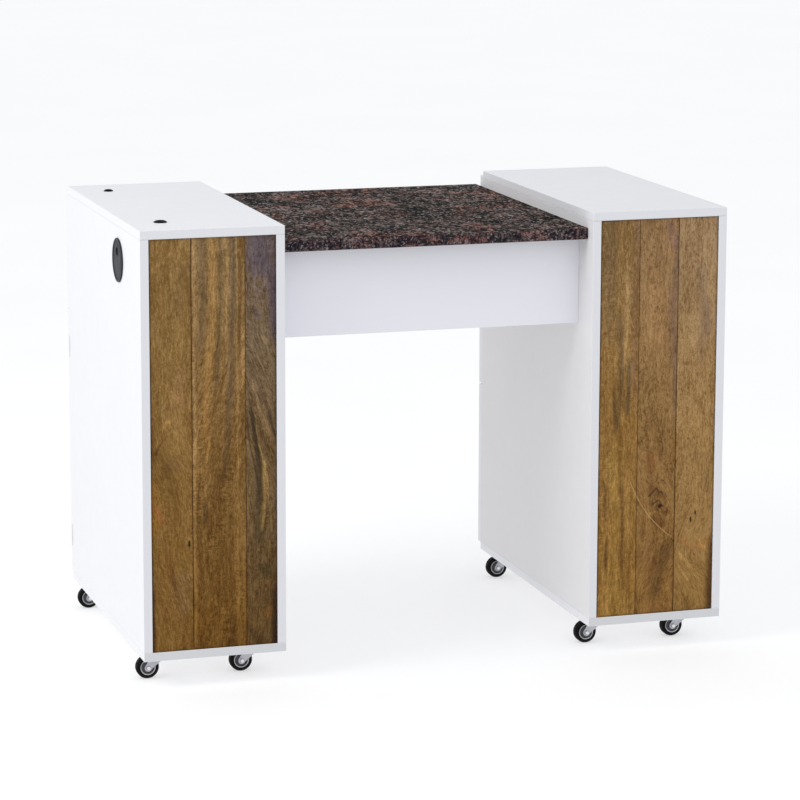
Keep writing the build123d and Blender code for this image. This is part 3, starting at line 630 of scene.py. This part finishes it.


# Each board of a front, from the left. Its tones are its light, middle and dark wood. Its painted_light is
# how much painted light and sheen tint it at its foot, middle and top. Its figure is how strong its fibre,
# ripple and blotches are. wander is how far its grain wanders, and rims are the widths in mm of the dark
# lines at its
# sides: painted shade where the recessed panel meets its frame, and dark seams between boards. Then come its
# grain's leans (share up, slope, reach in mm), its knots (share across, share up, radius in mm, stretch,
# strength) and its stains: a path in shares across and up, its reach in mm, its strength and its colour.
LEFT_BOARDS = [
    dict(
        tones=((146, 113, 66), (125, 93, 49), (100, 69, 30)),
        painted_light=((0.90, 0.85, 0.70), (0.97, 0.97, 0.95), (1.15, 1.22, 1.40)),
        figure=(0.35, 0.1, 0.5), wander=9 * MM, rims=(1.8, 0.6), leans=((0.45, 0.35, 60), (0.15, 0.4, 50)),
        knots=[(0.985, 0.30, 1.5, 1.3, 0.8), (0.915, 0.262, 2.1, 3.4, 1.0), (0.37, 0.285, 1.7, 1.2, 0.6)],
        stains=[
            ([(0.05, 0.93), (0.6, 0.97)], 4, 0.43, (168, 130, 76)),
            ([(0.75, 0.7), (0.7, 0.62), (0.95, 0.58)], 14, 0.6, (150, 113, 70)),
            ([(0.85, 0.95), (0.6, 0.8)], 16, 0.43, (108, 82, 50)),
            ([(0.05, 0.485), (0.35, 0.52)], 3, 0.7, (84, 50, 30)),
            ([(0.1, 0.5), (0.35, 0.56), (0.6, 0.575)], 3, 0.6, (166, 128, 72)),
            ([(0.3, 0.46), (0.7, 0.44)], 18, 0.48, (110, 84, 56)),
            ([(0.05, 0.43), (0.08, 0.36), (0.04, 0.28)], 6, 0.6, (148, 100, 42)),
            ([(0.12, 0.36), (0.3, 0.30)], 5, 0.52, (156, 99, 60)),
            ([(0.66, 0.28), (0.5, 0.2), (0.56, 0.15), (0.3, 0.1), (0.2, 0.04)], 3, 0.49, (100, 62, 34)),
            ([(0.35, 0.26), (0.45, 0.17)], 7, 0.52, (118, 76, 40)),
            ([(0.75, 0.2), (0.8, 0.08)], 16, 0.52, (140, 109, 82)),
            ([(0.02, 0.16), (0.03, -0.05)], 4, 0.7, (60, 34, 22)),
        ],
    ),
    dict(
        tones=((143, 112, 68), (117, 87, 48), (88, 60, 24)),
        painted_light=((0.73, 0.62, 0.38), (1.03, 1.00, 0.95), (1.20, 1.28, 1.50)),
        figure=(0.8, 0.45, 0.35), wander=6 * MM, rims=(0.6, 0.3), leans=((0.62, -0.3, 90),),
        knots=[],
        stains=[
            ([(0.04, 1.3), (0.04, 0.5), (0.03, -0.3)], 3.0, 0.52, (164, 129, 84)),
            ([(0.2, 1.1), (0.22, 0.82), (0.16, 0.7)], 9, 0.7, (98, 77, 50)),
            ([(0.4, 1.15), (0.42, 0.85), (0.28, 0.62), (0.25, 0.42)], 9, 0.64, (158, 119, 66)),
            ([(0.56, 1.1), (0.54, 0.8), (0.42, 0.6)], 5, 0.7, (90, 72, 46)),
            ([(0.68, 1.08), (0.66, 0.62)], 8, 0.52, (160, 125, 76)),
            ([(0.78, 1.15), (0.76, 0.75), (0.68, 0.55), (0.6, 0.4)], 7, 0.64, (88, 70, 50)),
            ([(0.85, 1.3), (0.84, -0.3)], 1.8, 0.6, (160, 126, 76)),
            ([(0.96, 0.96), (0.95, 0.6)], 4, 0.52, (156, 121, 76)),
            ([(0.5, 0.5), (0.6, 0.3), (0.5, 0.14)], 20, 0.48, (108, 80, 42)),
            ([(0.22, 0.36), (0.22, 0.31)], 5, 0.52, (84, 64, 42)),
            ([(0.25, 0.1), (0.1, 0.03)], 12, 0.43, (128, 94, 46)),
            ([(0.75, 0.1), (0.72, 0.0)], 14, 0.52, (92, 66, 38)),
        ],
    ),
    dict(
        tones=((124, 101, 72), (103, 81, 56), (72, 52, 27)),
        painted_light=((0.80, 0.70, 0.48), (1.08, 1.08, 1.00), (1.12, 1.25, 1.65)),
        figure=(0.4, 0.2, 0.6), wander=12 * MM, rims=(0.4, 2.2), leans=((0.7, 0.5, 60), (0.5, 0.35, 60)),
        knots=[],
        stains=[
            ([(0.5, 1.15), (0.5, 0.89)], 30, 0.85, (90, 74, 70)),
            ([(0.92, 0.93), (0.98, 0.74)], 13, 0.8, (80, 66, 64)),
            ([(0.15, 0.9), (0.45, 0.86), (0.75, 0.9)], 3, 0.48, (122, 102, 92)),
            ([(0.2, 0.83), (0.5, 0.8)], 6, 0.52, (72, 60, 64)),
            ([(0.6, 0.76), (0.7, 0.74)], 6, 0.52, (142, 112, 76)),
            ([(0.05, 0.7), (0.4, 0.64), (0.9, 0.55)], 4, 0.6, (86, 66, 46)),
            ([(0.1, 0.66), (0.45, 0.58), (0.8, 0.5)], 4, 0.48, (152, 119, 82)),
            ([(0.1, 0.62), (0.25, 0.52), (0.5, 0.42), (0.58, 0.34), (0.45, 0.26)], 3.4, 0.85, (60, 48, 34)),
            ([(0.18, 0.6), (0.36, 0.5), (0.62, 0.41), (0.66, 0.33), (0.52, 0.25)], 1.6, 0.85, (54, 41, 28)),
            ([(0.02, 0.58), (0.12, 0.5), (0.4, 0.4), (0.46, 0.32)], 1.6, 0.8, (62, 47, 32)),
            ([(0.24, 0.61), (0.44, 0.5), (0.7, 0.41), (0.74, 0.33)], 1.4, 0.7, (152, 122, 80)),
            ([(0.75, 0.58), (0.98, 0.5)], 3, 0.8, (64, 50, 38)),
            ([(0.35, 0.47), (0.4, 0.3), (0.2, 0.22)], 8, 0.6, (72, 60, 44)),
            ([(0.6, 0.46), (0.62, 0.36), (0.5, 0.28)], 3, 0.7, (168, 136, 86)),
            ([(0.5, 0.2), (0.8, 0.17)], 18, 0.7, (80, 68, 46)),
            ([(0.7, 0.1), (0.75, 0.06)], 9, 0.6, (136, 98, 56)),
            ([(0.99, 0.16), (0.95, -0.1)], 8, 0.9, (48, 36, 26)),
            ([(-0.2, 0.06), (0.6, 0.0)], 7, 0.6, (70, 50, 32)),
        ],
    ),
]
RIGHT_BOARDS = [
    dict(
        tones=((153, 120, 74), (131, 99, 55), (102, 73, 34)),
        painted_light=((1.18, 1.12, 0.88), (1.13, 1.07, 0.95), (1.05, 1.10, 1.30)),
        figure=(0.7, 0.25, 0.45), wander=7 * MM, rims=(1.6, 0.5),
        knots=[(0.93, 0.255, 1.5, 2.0, 0.3)],
        stains=[
            ([(0.4, 0.5), (0.44, 0.25), (0.4, -0.05)], 9, 0.4, (152, 122, 66)),
            ([(0.2, 0.55), (0.26, 0.3), (0.2, -0.1)], 1.2, 0.7, (72, 50, 30)),
            ([(0.56, 0.44), (0.62, 0.2), (0.58, 0.02)], 1.0, 0.65, (84, 60, 36)),
            ([(0.86, 0.4), (0.82, 0.1), (0.86, -0.1)], 1.1, 0.6, (92, 62, 36)),
            ([(0.2, 1.1), (0.25, 0.68)], 15, 0.6, (118, 94, 62)),
            ([(0.68, 0.9), (0.7, 0.74), (0.62, 0.62)], 5, 0.77, (156, 125, 80)),
            ([(0.92, 1.15), (0.9, 0.7), (0.92, 0.5)], 5, 0.64, (126, 94, 70)),
            ([(0.5, 0.78), (0.55, 0.6), (0.45, 0.46)], 6, 0.7, (92, 74, 48)),
            ([(0.35, 0.6), (0.4, 0.46)], 3, 0.6, (66, 50, 34)),
            ([(0.78, 0.66), (0.72, 0.5)], 5, 0.7, (90, 78, 58)),
            ([(0.3, 0.42), (0.42, 0.28)], 10, 0.6, (152, 121, 70)),
            ([(0.15, 0.34), (0.25, -0.1)], 12, 0.6, (150, 115, 68)),
            ([(0.62, 0.34), (0.66, 0.06)], 3, 0.6, (94, 66, 38)),
            ([(0.1, 0.36), (0.18, 0.32), (0.16, 0.24)], 3, 0.6, (78, 54, 34)),
            ([(0.2, 0.2), (0.22, 0.12)], 2.5, 0.7, (70, 46, 30)),
            ([(0.88, 0.2), (0.8, 0.04)], 9, 0.52, (120, 84, 44)),
        ],
    ),
    dict(
        tones=((150, 117, 75), (133, 101, 62), (92, 63, 32)),
        painted_light=((0.95, 0.85, 0.65), (1.08, 1.08, 1.03), (1.12, 1.15, 1.35)),
        figure=(0.25, 0.15, 0.5), wander=7 * MM, rims=(0.5, 0.8), leans=((0.3, 0.3, 50), (0.12, -0.5, 40)),
        knots=[(0.62, 0.275, 5.5, 0.9, 0.85), (0.42, 0.285, 3.5, 0.6, 0.7), (0.8, 0.262, 3.0, 0.7, 0.6),
               (0.6, 0.43, 1.6, 2.0, 0.7), (0.55, 0.69, 2.0, 0.6, 0.35), (0.7, 0.6, 1.3, 1.4, 0.6)],
        stains=[
            ([(0.45, 0.85), (0.5, 0.66)], 22, 0.52, (148, 112, 70)),
            ([(0.75, 1.0), (0.95, 0.92)], 10, 0.6, (112, 84, 70)),
            ([(0.98, 0.95), (0.9, 0.76), (0.97, 0.62), (1.0, 0.45)], 9, 0.62, (100, 76, 64)),
            ([(0.3, 0.7), (0.7, 0.67)], 5, 0.43, (112, 84, 54)),
            ([(0.45, 0.5), (0.3, 0.44)], 14, 0.43, (120, 88, 48)),
            ([(0.35, 0.42), (0.4, 0.36)], 11, 0.64, (124, 80, 46)),
            ([(0.25, 0.33), (0.5, 0.31), (0.85, 0.3)], 9, 0.5, (96, 62, 38)),
            ([(0.28, 0.3), (0.5, 0.318), (0.72, 0.298)], 1.6, 0.85, (52, 36, 26)),
            ([(0.36, 0.275), (0.55, 0.288), (0.8, 0.268)], 1.5, 0.8, (58, 40, 28)),
            ([(0.45, 0.335), (0.6, 0.345), (0.8, 0.328)], 1.4, 0.7, (70, 48, 32)),
            ([(0.3, 0.255), (0.55, 0.262), (0.9, 0.24)], 1.5, 0.7, (164, 128, 82)),
            ([(0.4, 0.25), (0.75, 0.22)], 12, 0.64, (100, 66, 38)),
            ([(0.4, 0.2), (0.35, 0.08)], 12, 0.43, (142, 107, 74)),
            ([(0.9, 0.19), (0.65, 0.11), (0.45, 0.03)], 12, 0.55, (88, 67, 42)),
            ([(0.75, 0.1), (0.9, 0.04)], 4, 0.52, (160, 122, 70)),
        ],
    ),
    dict(
        tones=((160, 129, 88), (145, 114, 73), (110, 80, 45)),
        painted_light=((0.91, 0.84, 0.62), (1.17, 1.15, 1.08), (1.15, 1.22, 1.50)),
        figure=(0.45, 0.12, 0.4), wander=5 * MM, rims=(0.5, 2.0), leans=((0.2, -0.5, 40), (0.1, 0.7, 40)),
        knots=[(0.42, 0.235, 2.0, 3.2, 1.0), (0.54, 0.252, 1.7, 3.4, 1.0), (0.05, 0.485, 2.2, 0.8, 0.8)],
        stains=[
            ([(0.5, 0.9), (0.7, 0.74), (0.6, 0.62)], 12, 0.56, (122, 96, 70)),
            ([(0.8, 0.8), (0.75, 0.7)], 9, 0.43, (110, 88, 68)),
            ([(0.3, 0.45), (0.35, 0.32)], 20, 0.48, (152, 122, 80)),
            ([(0.85, 0.36), (0.8, 0.3)], 9, 0.56, (118, 96, 62)),
            ([(0.05, 0.2), (0.5, 0.15), (0.95, 0.19)], 6, 0.6, (150, 105, 66)),
            ([(0.1, 0.155), (0.45, 0.1)], 2.6, 0.7, (184, 148, 98)),
            ([(0.1, 0.12), (0.4, 0.07)], 2.6, 0.6, (180, 144, 94)),
            ([(0.45, 0.2), (0.85, 0.16)], 2.6, 0.6, (176, 138, 82)),
            ([(0.3, 0.04), (0.5, 0.0)], 9, 0.6, (112, 84, 46)),
            ([(0.99, 0.2), (0.93, -0.1)], 9, 0.9, (86, 60, 38)),
        ],
    ),
]

# where the seams lie, in shares of the width, and how wide they are, in mm
FRONTS = {
    "left": dict(seams=(0.326, 0.755), gaps=(0.5, 0.25), boards=LEFT_BOARDS),
    "right": dict(seams=(0.33, 0.663), gaps=(0.3, 0.7), boards=RIGHT_BOARDS),
}
# a curved scratch on the right front: three places on it, and how low and how high it runs, in shares
SCRATCH = ((0.26, 0.353), (0.443, 0.251), (0.655, 0.19))
SCRATCH_ENDS = (0.18, 0.36)
SEEDS = {"left": 4, "right": 14}


def circle_through(a, b, c):
    """Centre and radius of the circle through three points."""
    (ax, ay), (bx, by), (cx, cy) = a, b, c
    aa, bb, cc = ax ** 2 + ay ** 2, bx ** 2 + by ** 2, cx ** 2 + cy ** 2
    twice = 2 * (ax * (by - cy) + bx * (cy - ay) + cx * (ay - by))
    x = (aa * (by - cy) + bb * (cy - ay) + cc * (ay - by)) / twice
    y = (aa * (cx - bx) + bb * (ax - cx) + cc * (bx - ax)) / twice
    return x, y, math.hypot(ax - x, ay - y)


def timber_boards():
    for side, layout in FRONTS.items():
        node = f"{side}_front_boards"
        low, high = corners(node)
        width, height = high.x - low.x, high.z - low.z
        shares = [0.0, *layout["seams"], 1.0]
        gaps = [0.0, *layout["gaps"], 0.0]
        scratch = None
        if side == "right":
            x, z, radius = circle_through(*[(low.x + a * width, low.z + b * height) for a, b in SCRATCH])
            foot, top = (low.z + share * height for share in SCRATCH_ENDS)
            scratch = (Vector((x, 0, z)), radius, foot, top)
        for number, look in enumerate(layout["boards"]):
            a = low.x + shares[number] * width + gaps[number] * MM / 2
            b = low.x + shares[number + 1] * width - gaps[number + 1] * MM / 2
            name = f"{side}_board_{number + 1}"
            near, far = Vector((a, low.y, low.z)), Vector((b, high.y, high.z))
            mesh = board_mesh(name, near, far, look, SEEDS[side] + number)
            material = timber(name, look, height, scratch if number < 2 else None)
            piece(name, mesh, "table", material, [node])


# ---- casters ----
CASTERS = [f"{side}_{end}_{way}" for side in ("left", "right") for end in ("front", "rear")
           for way in ("outer", "inner")]
HUB_R = 13.2 * MM
TRAIL = 20 * MM  # from the axle to the swivel
CROWN_BACK, CROWN_FRONT = 12.5 * MM, 7 * MM  # how far the crown's plate reaches, either way from the swivel
AXLE_WAY = (0, 1, 0)
UPRIGHT = Matrix.Rotation(math.radians(90), 4, "X")


def wheel_pieces(name, tyre_look, rim_look, core_look):
    """A wheel with a ribbed tyre, a bright rim ring and a dished, spoked core."""
    body = f"caster_wheel_{name}"
    low, high = corners(f"wheel_{name}")
    centre = (low + high) / 2
    radius = (high.z - low.z) / 2
    half = (high.y - low.y) / 2
    groove = radius - 0.45 * MM
    tread = []
    for y in (-3.6 * MM, 0.0, 3.6 * MM):
        tread += [(radius, y - 1.3 * MM), (groove, y - 0.5 * MM),
                  (groove, y + 0.5 * MM), (radius, y + 1.3 * MM)]
    edge = [(HUB_R, -half + 0.4 * MM), (radius - 3.2 * MM, -half, 1.5 * MM),
            (radius - 0.9 * MM, -half + 1.9 * MM)]
    outline = rounded(edge + tread + mirrored(edge), 0.5 * MM, 3)
    tyre = lathe(f"tyre_{name}", outline, centre, AXLE_WAY, 72)
    piece(f"tyre_{name}", tyre, body, tyre_look, [f"wheel_{name}"])

    lip = half - 0.1 * MM
    side = [(HUB_R, lip), (HUB_R - 0.6 * MM, lip), (HUB_R - 1.5 * MM, half - 0.5 * MM),
            (HUB_R - 2.1 * MM, half - 2.6 * MM)]
    rim = lathe(f"rim_{name}", rounded(side + mirrored(side), 0.3 * MM, 2), centre, AXLE_WAY, 64)
    piece(f"rim_{name}", rim, body, rim_look)

    bore, boss = 3.1 * MM, 6 * MM
    side = [(bore, -half + 0.3 * MM), (boss, -half + 0.3 * MM), (boss + 0.6 * MM, -half + 2.2 * MM),
            (HUB_R - 2 * MM, -half + 2.9 * MM)]
    bits = [lathe("core", rounded(side + mirrored(side), 0.4 * MM, 2), centre, AXLE_WAY, 48)]
    root, tip, thick = boss + 0.3 * MM, HUB_R - 2.2 * MM, 1.4 * MM
    spoke = [(root, -thick / 2), (tip, -thick / 2), (tip, thick / 2), (root, thick / 2)]
    for way in (-1, 1):
        out = Matrix.Translation((0, way * (half - 2.5 * MM) + thick / 2, 0))
        for angle in range(30, 390, 60):
            stand = Matrix.Translation(centre) @ Matrix.Rotation(math.radians(angle), 4, "Y") @ out @ UPRIGHT
            bits.append(plate(spoke, thick, stand, 0.25 * MM))
    piece(f"core_{name}", join(f"core_{name}", bits), body, core_look)


def cheek_outline():
    """A cheek's outline, seen along the axle and measured from the axle: wide at the crown, round below."""
    crown, foot_r = 23.6 * MM, 6.4 * MM
    turns = np.linspace(math.radians(158), math.radians(338), 16)
    foot = [(foot_r * math.cos(turn), foot_r * math.sin(turn)) for turn in turns]
    return [(TRAIL - CROWN_BACK, crown), *foot, (TRAIL + 2.5 * MM, 11 * MM), (TRAIL + CROWN_FRONT, crown)]


def fork_piece(name, steel, bright):
    """A stamped fork: two cheeks folded down from a crown, with the axle's head and nut outside them."""
    low, high = corners(f"wheel_{name}")
    axle = (low + high) / 2
    fork_low, fork_high = corners(f"fork_{name}")
    cheek_in = (high.y - low.y) / 2 + 1.0 * MM
    cheek_t = 1.8 * MM
    reach = cheek_in + cheek_t
    bits = []
    for y in (-cheek_in, reach):
        place = Matrix.Translation((axle.x, axle.y + y, axle.z)) @ UPRIGHT
        bits.append(plate(cheek_outline(), cheek_t, place, 0.35 * MM))
    swivel = Vector((axle.x + TRAIL, axle.y, 0))
    crown_low, crown_high = 41.2 * MM, 43.6 * MM
    outline = [(-CROWN_BACK, -reach), (CROWN_FRONT, -reach), (CROWN_FRONT, reach), (-CROWN_BACK, reach)]
    place = Matrix.Translation((swivel.x, swivel.y, crown_low))
    bits.append(plate(rounded(outline, 1.2 * MM), crown_high - crown_low, place, 0.3 * MM))
    disc = [(0, crown_low), (14.2 * MM, crown_low), (15 * MM, crown_low + 0.9 * MM), (14.6 * MM, crown_high),
            (0, crown_high)]
    bits.append(lathe("disc", disc, swivel, (0, 0, 1), 56))
    pin = [(0, crown_low), (3 * MM, crown_low), (3 * MM, fork_high.z), (0, fork_high.z)]
    bits.append(lathe("pin", pin, swivel, (0, 0, 1), 24))
    shell = join(f"fork_shell_{name}", bits)
    piece(f"fork_shell_{name}", shell, f"caster_fork_{name}", steel, [f"fork_{name}"])

    head_out = (fork_high.y - fork_low.y) / 2
    shaft = [(0, -reach), (3 * MM, -reach), (3 * MM, reach), (0, reach)]
    bits = [lathe("shaft", shaft, axle, AXLE_WAY, 32)]
    dome = [(0, reach - 0.2 * MM), (4.4 * MM, reach - 0.2 * MM), (4.3 * MM, reach + 0.6 * MM),
            (3 * MM, head_out - 0.2 * MM), (0, head_out)]
    for way in (-1, 1):
        bits.append(lathe("dome", dome, axle, (0, way, 0), 32))
    piece(f"axle_{name}", join(f"axle_{name}", bits), f"caster_fork_{name}", bright)


# ---- exhaust port and the fittings in the top ----
def port_details(look):
    """The relief on the port's cap: a lip round its small hole, and two beads near its rim."""
    low, high = corners("port_cap")
    middle = Vector((low.x, (low.y + high.y) / 2, (low.z + high.z) / 2))
    radius = (high.z - low.z) / 2
    hole = middle + Vector((0, 0, 15 * MM))
    lip = [(7.0 * MM, 0.3 * MM), (8.6 * MM, 0.3 * MM), (8.3 * MM, -0.5 * MM), (7.3 * MM, -0.5 * MM)]
    bits = [lathe("lip", rounded(lip, 0.3 * MM, 3), hole, (1, 0, 0), 48)]
    for ring in (radius - 2.6 * MM, radius - 5.2 * MM):
        bead = [(ring - 0.5 * MM, 0.2 * MM), (ring + 0.5 * MM, 0.2 * MM), (ring, -0.35 * MM)]
        bits.append(lathe("bead", rounded(bead, 0.25 * MM, 3), middle, (1, 0, 0), 96))
    piece("port_cap_relief", join("port_cap_relief", bits), "port_cap", look)


TOP_FITTINGS = "lamp_socket_and_cord_bush"


def fitting(name, y, flange, body_r, bore, look):
    """A flanged bush turned to a soft domed rim with a countersunk bore."""
    low, high = corners(TOP_FITTINGS)
    top = corners("left_top_panel")[1].z
    wall = body_r - 0.05 * MM
    outline = [
        (bore, low.z), (wall, low.z, 0.6 * MM), (wall, top), (flange, top + 0.02 * MM),
        (flange, top + 1.3 * MM, 1.2 * MM), (flange - 3.2 * MM, high.z, 2.2 * MM),
        (bore + 1.2 * MM, high.z, 0.6 * MM), (bore, high.z - 1.2 * MM),
    ]
    stand = Vector(((low.x + high.x) / 2, y, 0))
    mesh = lathe(name, rounded(outline, 0.15 * MM, 5), stand, (0, 0, 1), 64)
    piece(name, mesh, "table", look, [TOP_FITTINGS])


def top_fittings(look):
    low, high = corners(TOP_FITTINGS)
    socket_r, bush_r = 11.5 * MM, 8.5 * MM
    fitting("lamp_socket", low.y + socket_r, socket_r, 8 * MM, 6.25 * MM, look)
    fitting("cord_bush", high.y - bush_r, bush_r, 6 * MM, 4.5 * MM, look)


# ---- fittings on the technician's side ----
KNOBS = {"left_door_knob": "door", **{f"drawer_{n}_knob": f"drawer_{n}" for n in (1, 2, 3)}}


def knobs(look):
    """Turned knobs: a flared foot, a waist and a domed cap with a fine ring."""
    for node, body in KNOBS.items():
        low, high = corners(node)
        x, z = (low.x + high.x) / 2, (low.z + high.z) / 2
        reach = high.y - low.y
        radius = (high.x - low.x) / 2
        outline = [
            (0, 0), (7.2 * MM, 0), (6.6 * MM, 1.4 * MM), (5 * MM, 4 * MM, 4 * MM), (4.8 * MM, 9 * MM, 6 * MM),
            (radius - 1.2 * MM, reach - 8.5 * MM, 2 * MM), (radius, reach - 6.5 * MM, 1 * MM),
            (radius, reach - 3 * MM, 2 * MM), (radius - 2.4 * MM, reach - 0.6 * MM, 1 * MM),
            (radius - 3.2 * MM, reach - 0.9 * MM, 0.4 * MM), (radius - 4 * MM, reach - 0.4 * MM, 0.6 * MM),
            (0, reach),
        ]
        mesh = lathe(node + "_turned", rounded(outline, 0.4 * MM, 5), Vector((x, low.y, z)), (0, 1, 0), 72)
        piece(node + "_turned", mesh, body, look, [node])


def screw(x, z, face, radius):
    """A screw's domed head in a face that looks along +Y."""
    dome = [(0, -0.6 * MM), (radius, -0.6 * MM), (radius, 0.15 * MM), (radius * 0.6, 0.55 * MM),
            (0, 0.7 * MM)]
    return lathe("dome", rounded(dome, 0.1 * MM, 2), Vector((x, face, z)), (0, 1, 0), 32)


def panel_screws(steel):
    """The service panel's four screws, each in a dished washer."""
    low, high = corners("left_service_panel")
    face = high.y
    inset = 18 * MM
    bits = []
    for x in (low.x + inset, high.x - inset):
        for z in (low.z + inset, high.z - inset):
            cup = [(2.6 * MM, 0.05 * MM), (6.0 * MM, 0.05 * MM), (5.6 * MM, 0.8 * MM), (3.4 * MM, 1.1 * MM),
                   (2.6 * MM, 0.3 * MM)]
            bits.append(lathe("cup", rounded(cup, 0.15 * MM, 2), Vector((x, face, z)), (0, 1, 0), 40))
            bits.append(screw(x, z, face + 0.2 * MM, 3.2 * MM))
    piece("service_panel_screws", join("service_panel_screws", bits), "table", steel)


# ---- surfaces of the CAD pieces ----
def paint(material, *names):
    for name in names:
        for slot in frame["nodes"][name].material_slots:
            slot.material = material


def paint_frame():
    joints = (corners("left_outer_side")[0].z, corners("left_outer_side")[1].z)
    board = melamine("white_melamine", WHITE, SHADED_BAND, joints)
    white_nodes = [s["node"] for s in frame["record"]["subparts"] if s["material_slot"] == "white_melamine"]
    paint(board, *white_nodes)
    paint(melamine("bottom_board", WHITE, SHADED_LOW_BAND), "left_bottom_panel", "right_bottom_panel")
    # the right pedestal's side towards the knees is a greyer white: painted shade below the apron and stone
    paint(melamine("shaded_inner_board", SHADED_INNER, SHADED_BAND, joints), "right_inner_side")
    paint(melamine("face_board", WHITE, SHADED_FACE), "apron_panel", "left_service_panel", "left_door",
          *[f"drawer_{n}_front" for n in (1, 2, 3)])
    paint(granite(), "granite_top")
    paint(softwood(), "support_cleats")
    paint(filter_paper(), "filter_media")
    low, high = corners("drawer_1_box")
    runner = 6 * MM
    drawer_look = drawer_board((high.x - low.x) / 2 - runner, (low.x + high.x) / 2, srgb(228, 229, 231),
                               srgb(176, 178, 180))
    paint(drawer_look, *[f"drawer_{n}_box" for n in (1, 2, 3)])
    zinc = metal("zinc_plate", srgb(186, 188, 190), 0.3, wear=0.1)
    paint(zinc, "caster_plates")
    colour_layer = Shader("hinge_coat", Base_Color=WHITE, Roughness=0.35)
    paint(colour_layer.material, "door_hinge_leaves_fixed", "door_hinge_leaves_moving")
    paint(metal("runner_steel", srgb(176, 178, 180), 0.32, (1, 0.03, 1)), "drawer_runners_fixed")
    paint(metal("bolt_steel", srgb(150, 150, 152), 0.35), "bridge_bolts")
    dark = plastic("port_plastic", DARK_PLASTIC, 0.5, shine=0.12)
    paint(dark, "port_liner", "port_cap")
    black = plastic("black_plastic", srgb(30, 31, 33), 0.36)
    paint(black, "fan_frame", "fan_rotor", "duct_spigot", "fan_switch_body")
    paint(plastic("rocker_plastic", srgb(24, 24, 26), 0.22, 600.0, 0.00001), "fan_switch_rocker")
    paint(plastic("hose_plastic", srgb(150, 152, 154), 0.5), "exhaust_hose")
    paint(plastic("cassette_plastic", srgb(232, 233, 235), 0.4, streak=0.01), "filter_cassette")
    return dark, zinc


def build_pieces():
    dark, zinc = paint_frame()
    timber_boards()
    tyre = rubber()
    rim = metal("rim_plate", srgb(196, 196, 196), 0.26)
    core = plastic("wheel_core", srgb(78, 78, 84), 0.36, shine=0.3)
    stamped = metal("stamped_steel", srgb(184, 184, 190), 0.3, wear=0.08)
    bright = metal("axle_bright", srgb(226, 226, 228), 0.16, wear=0.04)
    for name in CASTERS:
        wheel_pieces(name, tyre, rim, core)
        fork_piece(name, stamped, bright)
    port_details(dark)
    top_fittings(plastic("fitting_plastic", srgb(9, 9, 10), 0.34, 900.0, 0.00002, shine=0.08))
    knobs(metal("turned_metal", srgb(190, 190, 192), 0.24, (1, 12, 1)))
    panel_screws(zinc)


# ---- floor, lights and camera ----
FLOOR_HALF = 60.0
FLOOR_GLOW = 0.49  # the floor gives off light of its own, so shadows on it stay faint
ROOM_LIGHT = 0.84
ROOM_TINT = (0.96, 0.98, 1.0, 1)


def panel_light(name, place, target, size, power):
    data = bpy.data.lights.new(name, "AREA")
    data.size = size
    data.energy = power
    lamp = bpy.data.objects.new(name, data)
    lamp.location = place
    lamp.rotation_euler = (Vector(target) - Vector(place)).to_track_quat("-Z", "Y").to_euler()
    bpy.context.collection.objects.link(lamp)


def studio():
    mesh = bpy.data.meshes.new("floor")
    sheet = [(x * FLOOR_HALF, y * FLOOR_HALF, 0) for x, y in ((-1, -1), (1, -1), (1, 1), (-1, 1))]
    mesh.from_pydata(sheet, [], [(0, 1, 2, 3)])
    floor = bpy.data.objects.new("floor", mesh)
    bpy.context.collection.objects.link(floor)
    look = Shader("floor", Roughness=0.9, Specular_IOR_Level=0.05, Emission_Strength=FLOOR_GLOW)
    look.principled.inputs["Emission Color"].default_value = (1, 1, 1, 1)
    soft = look.noise(look.place(), 1.5, 3.0)
    look.drive("Base Color", look.ramp(soft, [(0.3, (0.55, 0.55, 0.55, 1)), (0.7, (0.57, 0.57, 0.57, 1))]))
    mesh.materials.append(look.material)

    world = bpy.data.worlds.new("studio")
    world.use_nodes = True
    room = world.node_tree.nodes["Background"].inputs
    room["Color"].default_value = ROOM_TINT
    room["Strength"].default_value = ROOM_LIGHT
    bpy.context.scene.world = world
    bpy.context.scene.view_settings.view_transform = "Standard"
    panel_light("key", (-3.2, -0.8, 2.9), (0, 0, 0.5), 1.8, 48)
    panel_light("fill", (0.8, -4.4, 1.5), (0.1, 0, 0.4), 3.0, 11)


# the camera looks at a point near the middle of the table, from the client's left and a little above
CAMERA_TARGET = Vector((0.0194, -0.0250, 0.5646))
CAMERA_AZIMUTH = math.radians(-17.2)
CAMERA_ELEVATION = math.radians(9.856)
CAMERA_ROLL = math.radians(0.15)
CAMERA_DISTANCE = 5.874
LENS_MM = 146.3
SENSOR_MM = 36.0
SHIFT_Y = -0.1  # the picture's middle lies below the target


def camera():
    level = Vector((math.sin(CAMERA_AZIMUTH), -math.cos(CAMERA_AZIMUTH), 0))
    back = level * math.cos(CAMERA_ELEVATION) + Vector((0, 0, math.sin(CAMERA_ELEVATION)))
    right = Vector((0, 0, 1)).cross(back).normalized()
    up = back.cross(right)
    rolled = right * math.cos(CAMERA_ROLL) + up * math.sin(CAMERA_ROLL)
    data = bpy.data.cameras.new("camera")
    data.lens = LENS_MM
    data.sensor_width = SENSOR_MM
    data.shift_y = SHIFT_Y
    data.clip_end = 200
    made = bpy.data.objects.new("camera", data)
    turned = Matrix((rolled, back.cross(rolled), back)).transposed().to_4x4()
    made.matrix_world = Matrix.Translation(CAMERA_TARGET + back * CAMERA_DISTANCE) @ turned
    bpy.context.collection.objects.link(made)
    bpy.context.scene.camera = made


camera()
build_pieces()
studio()
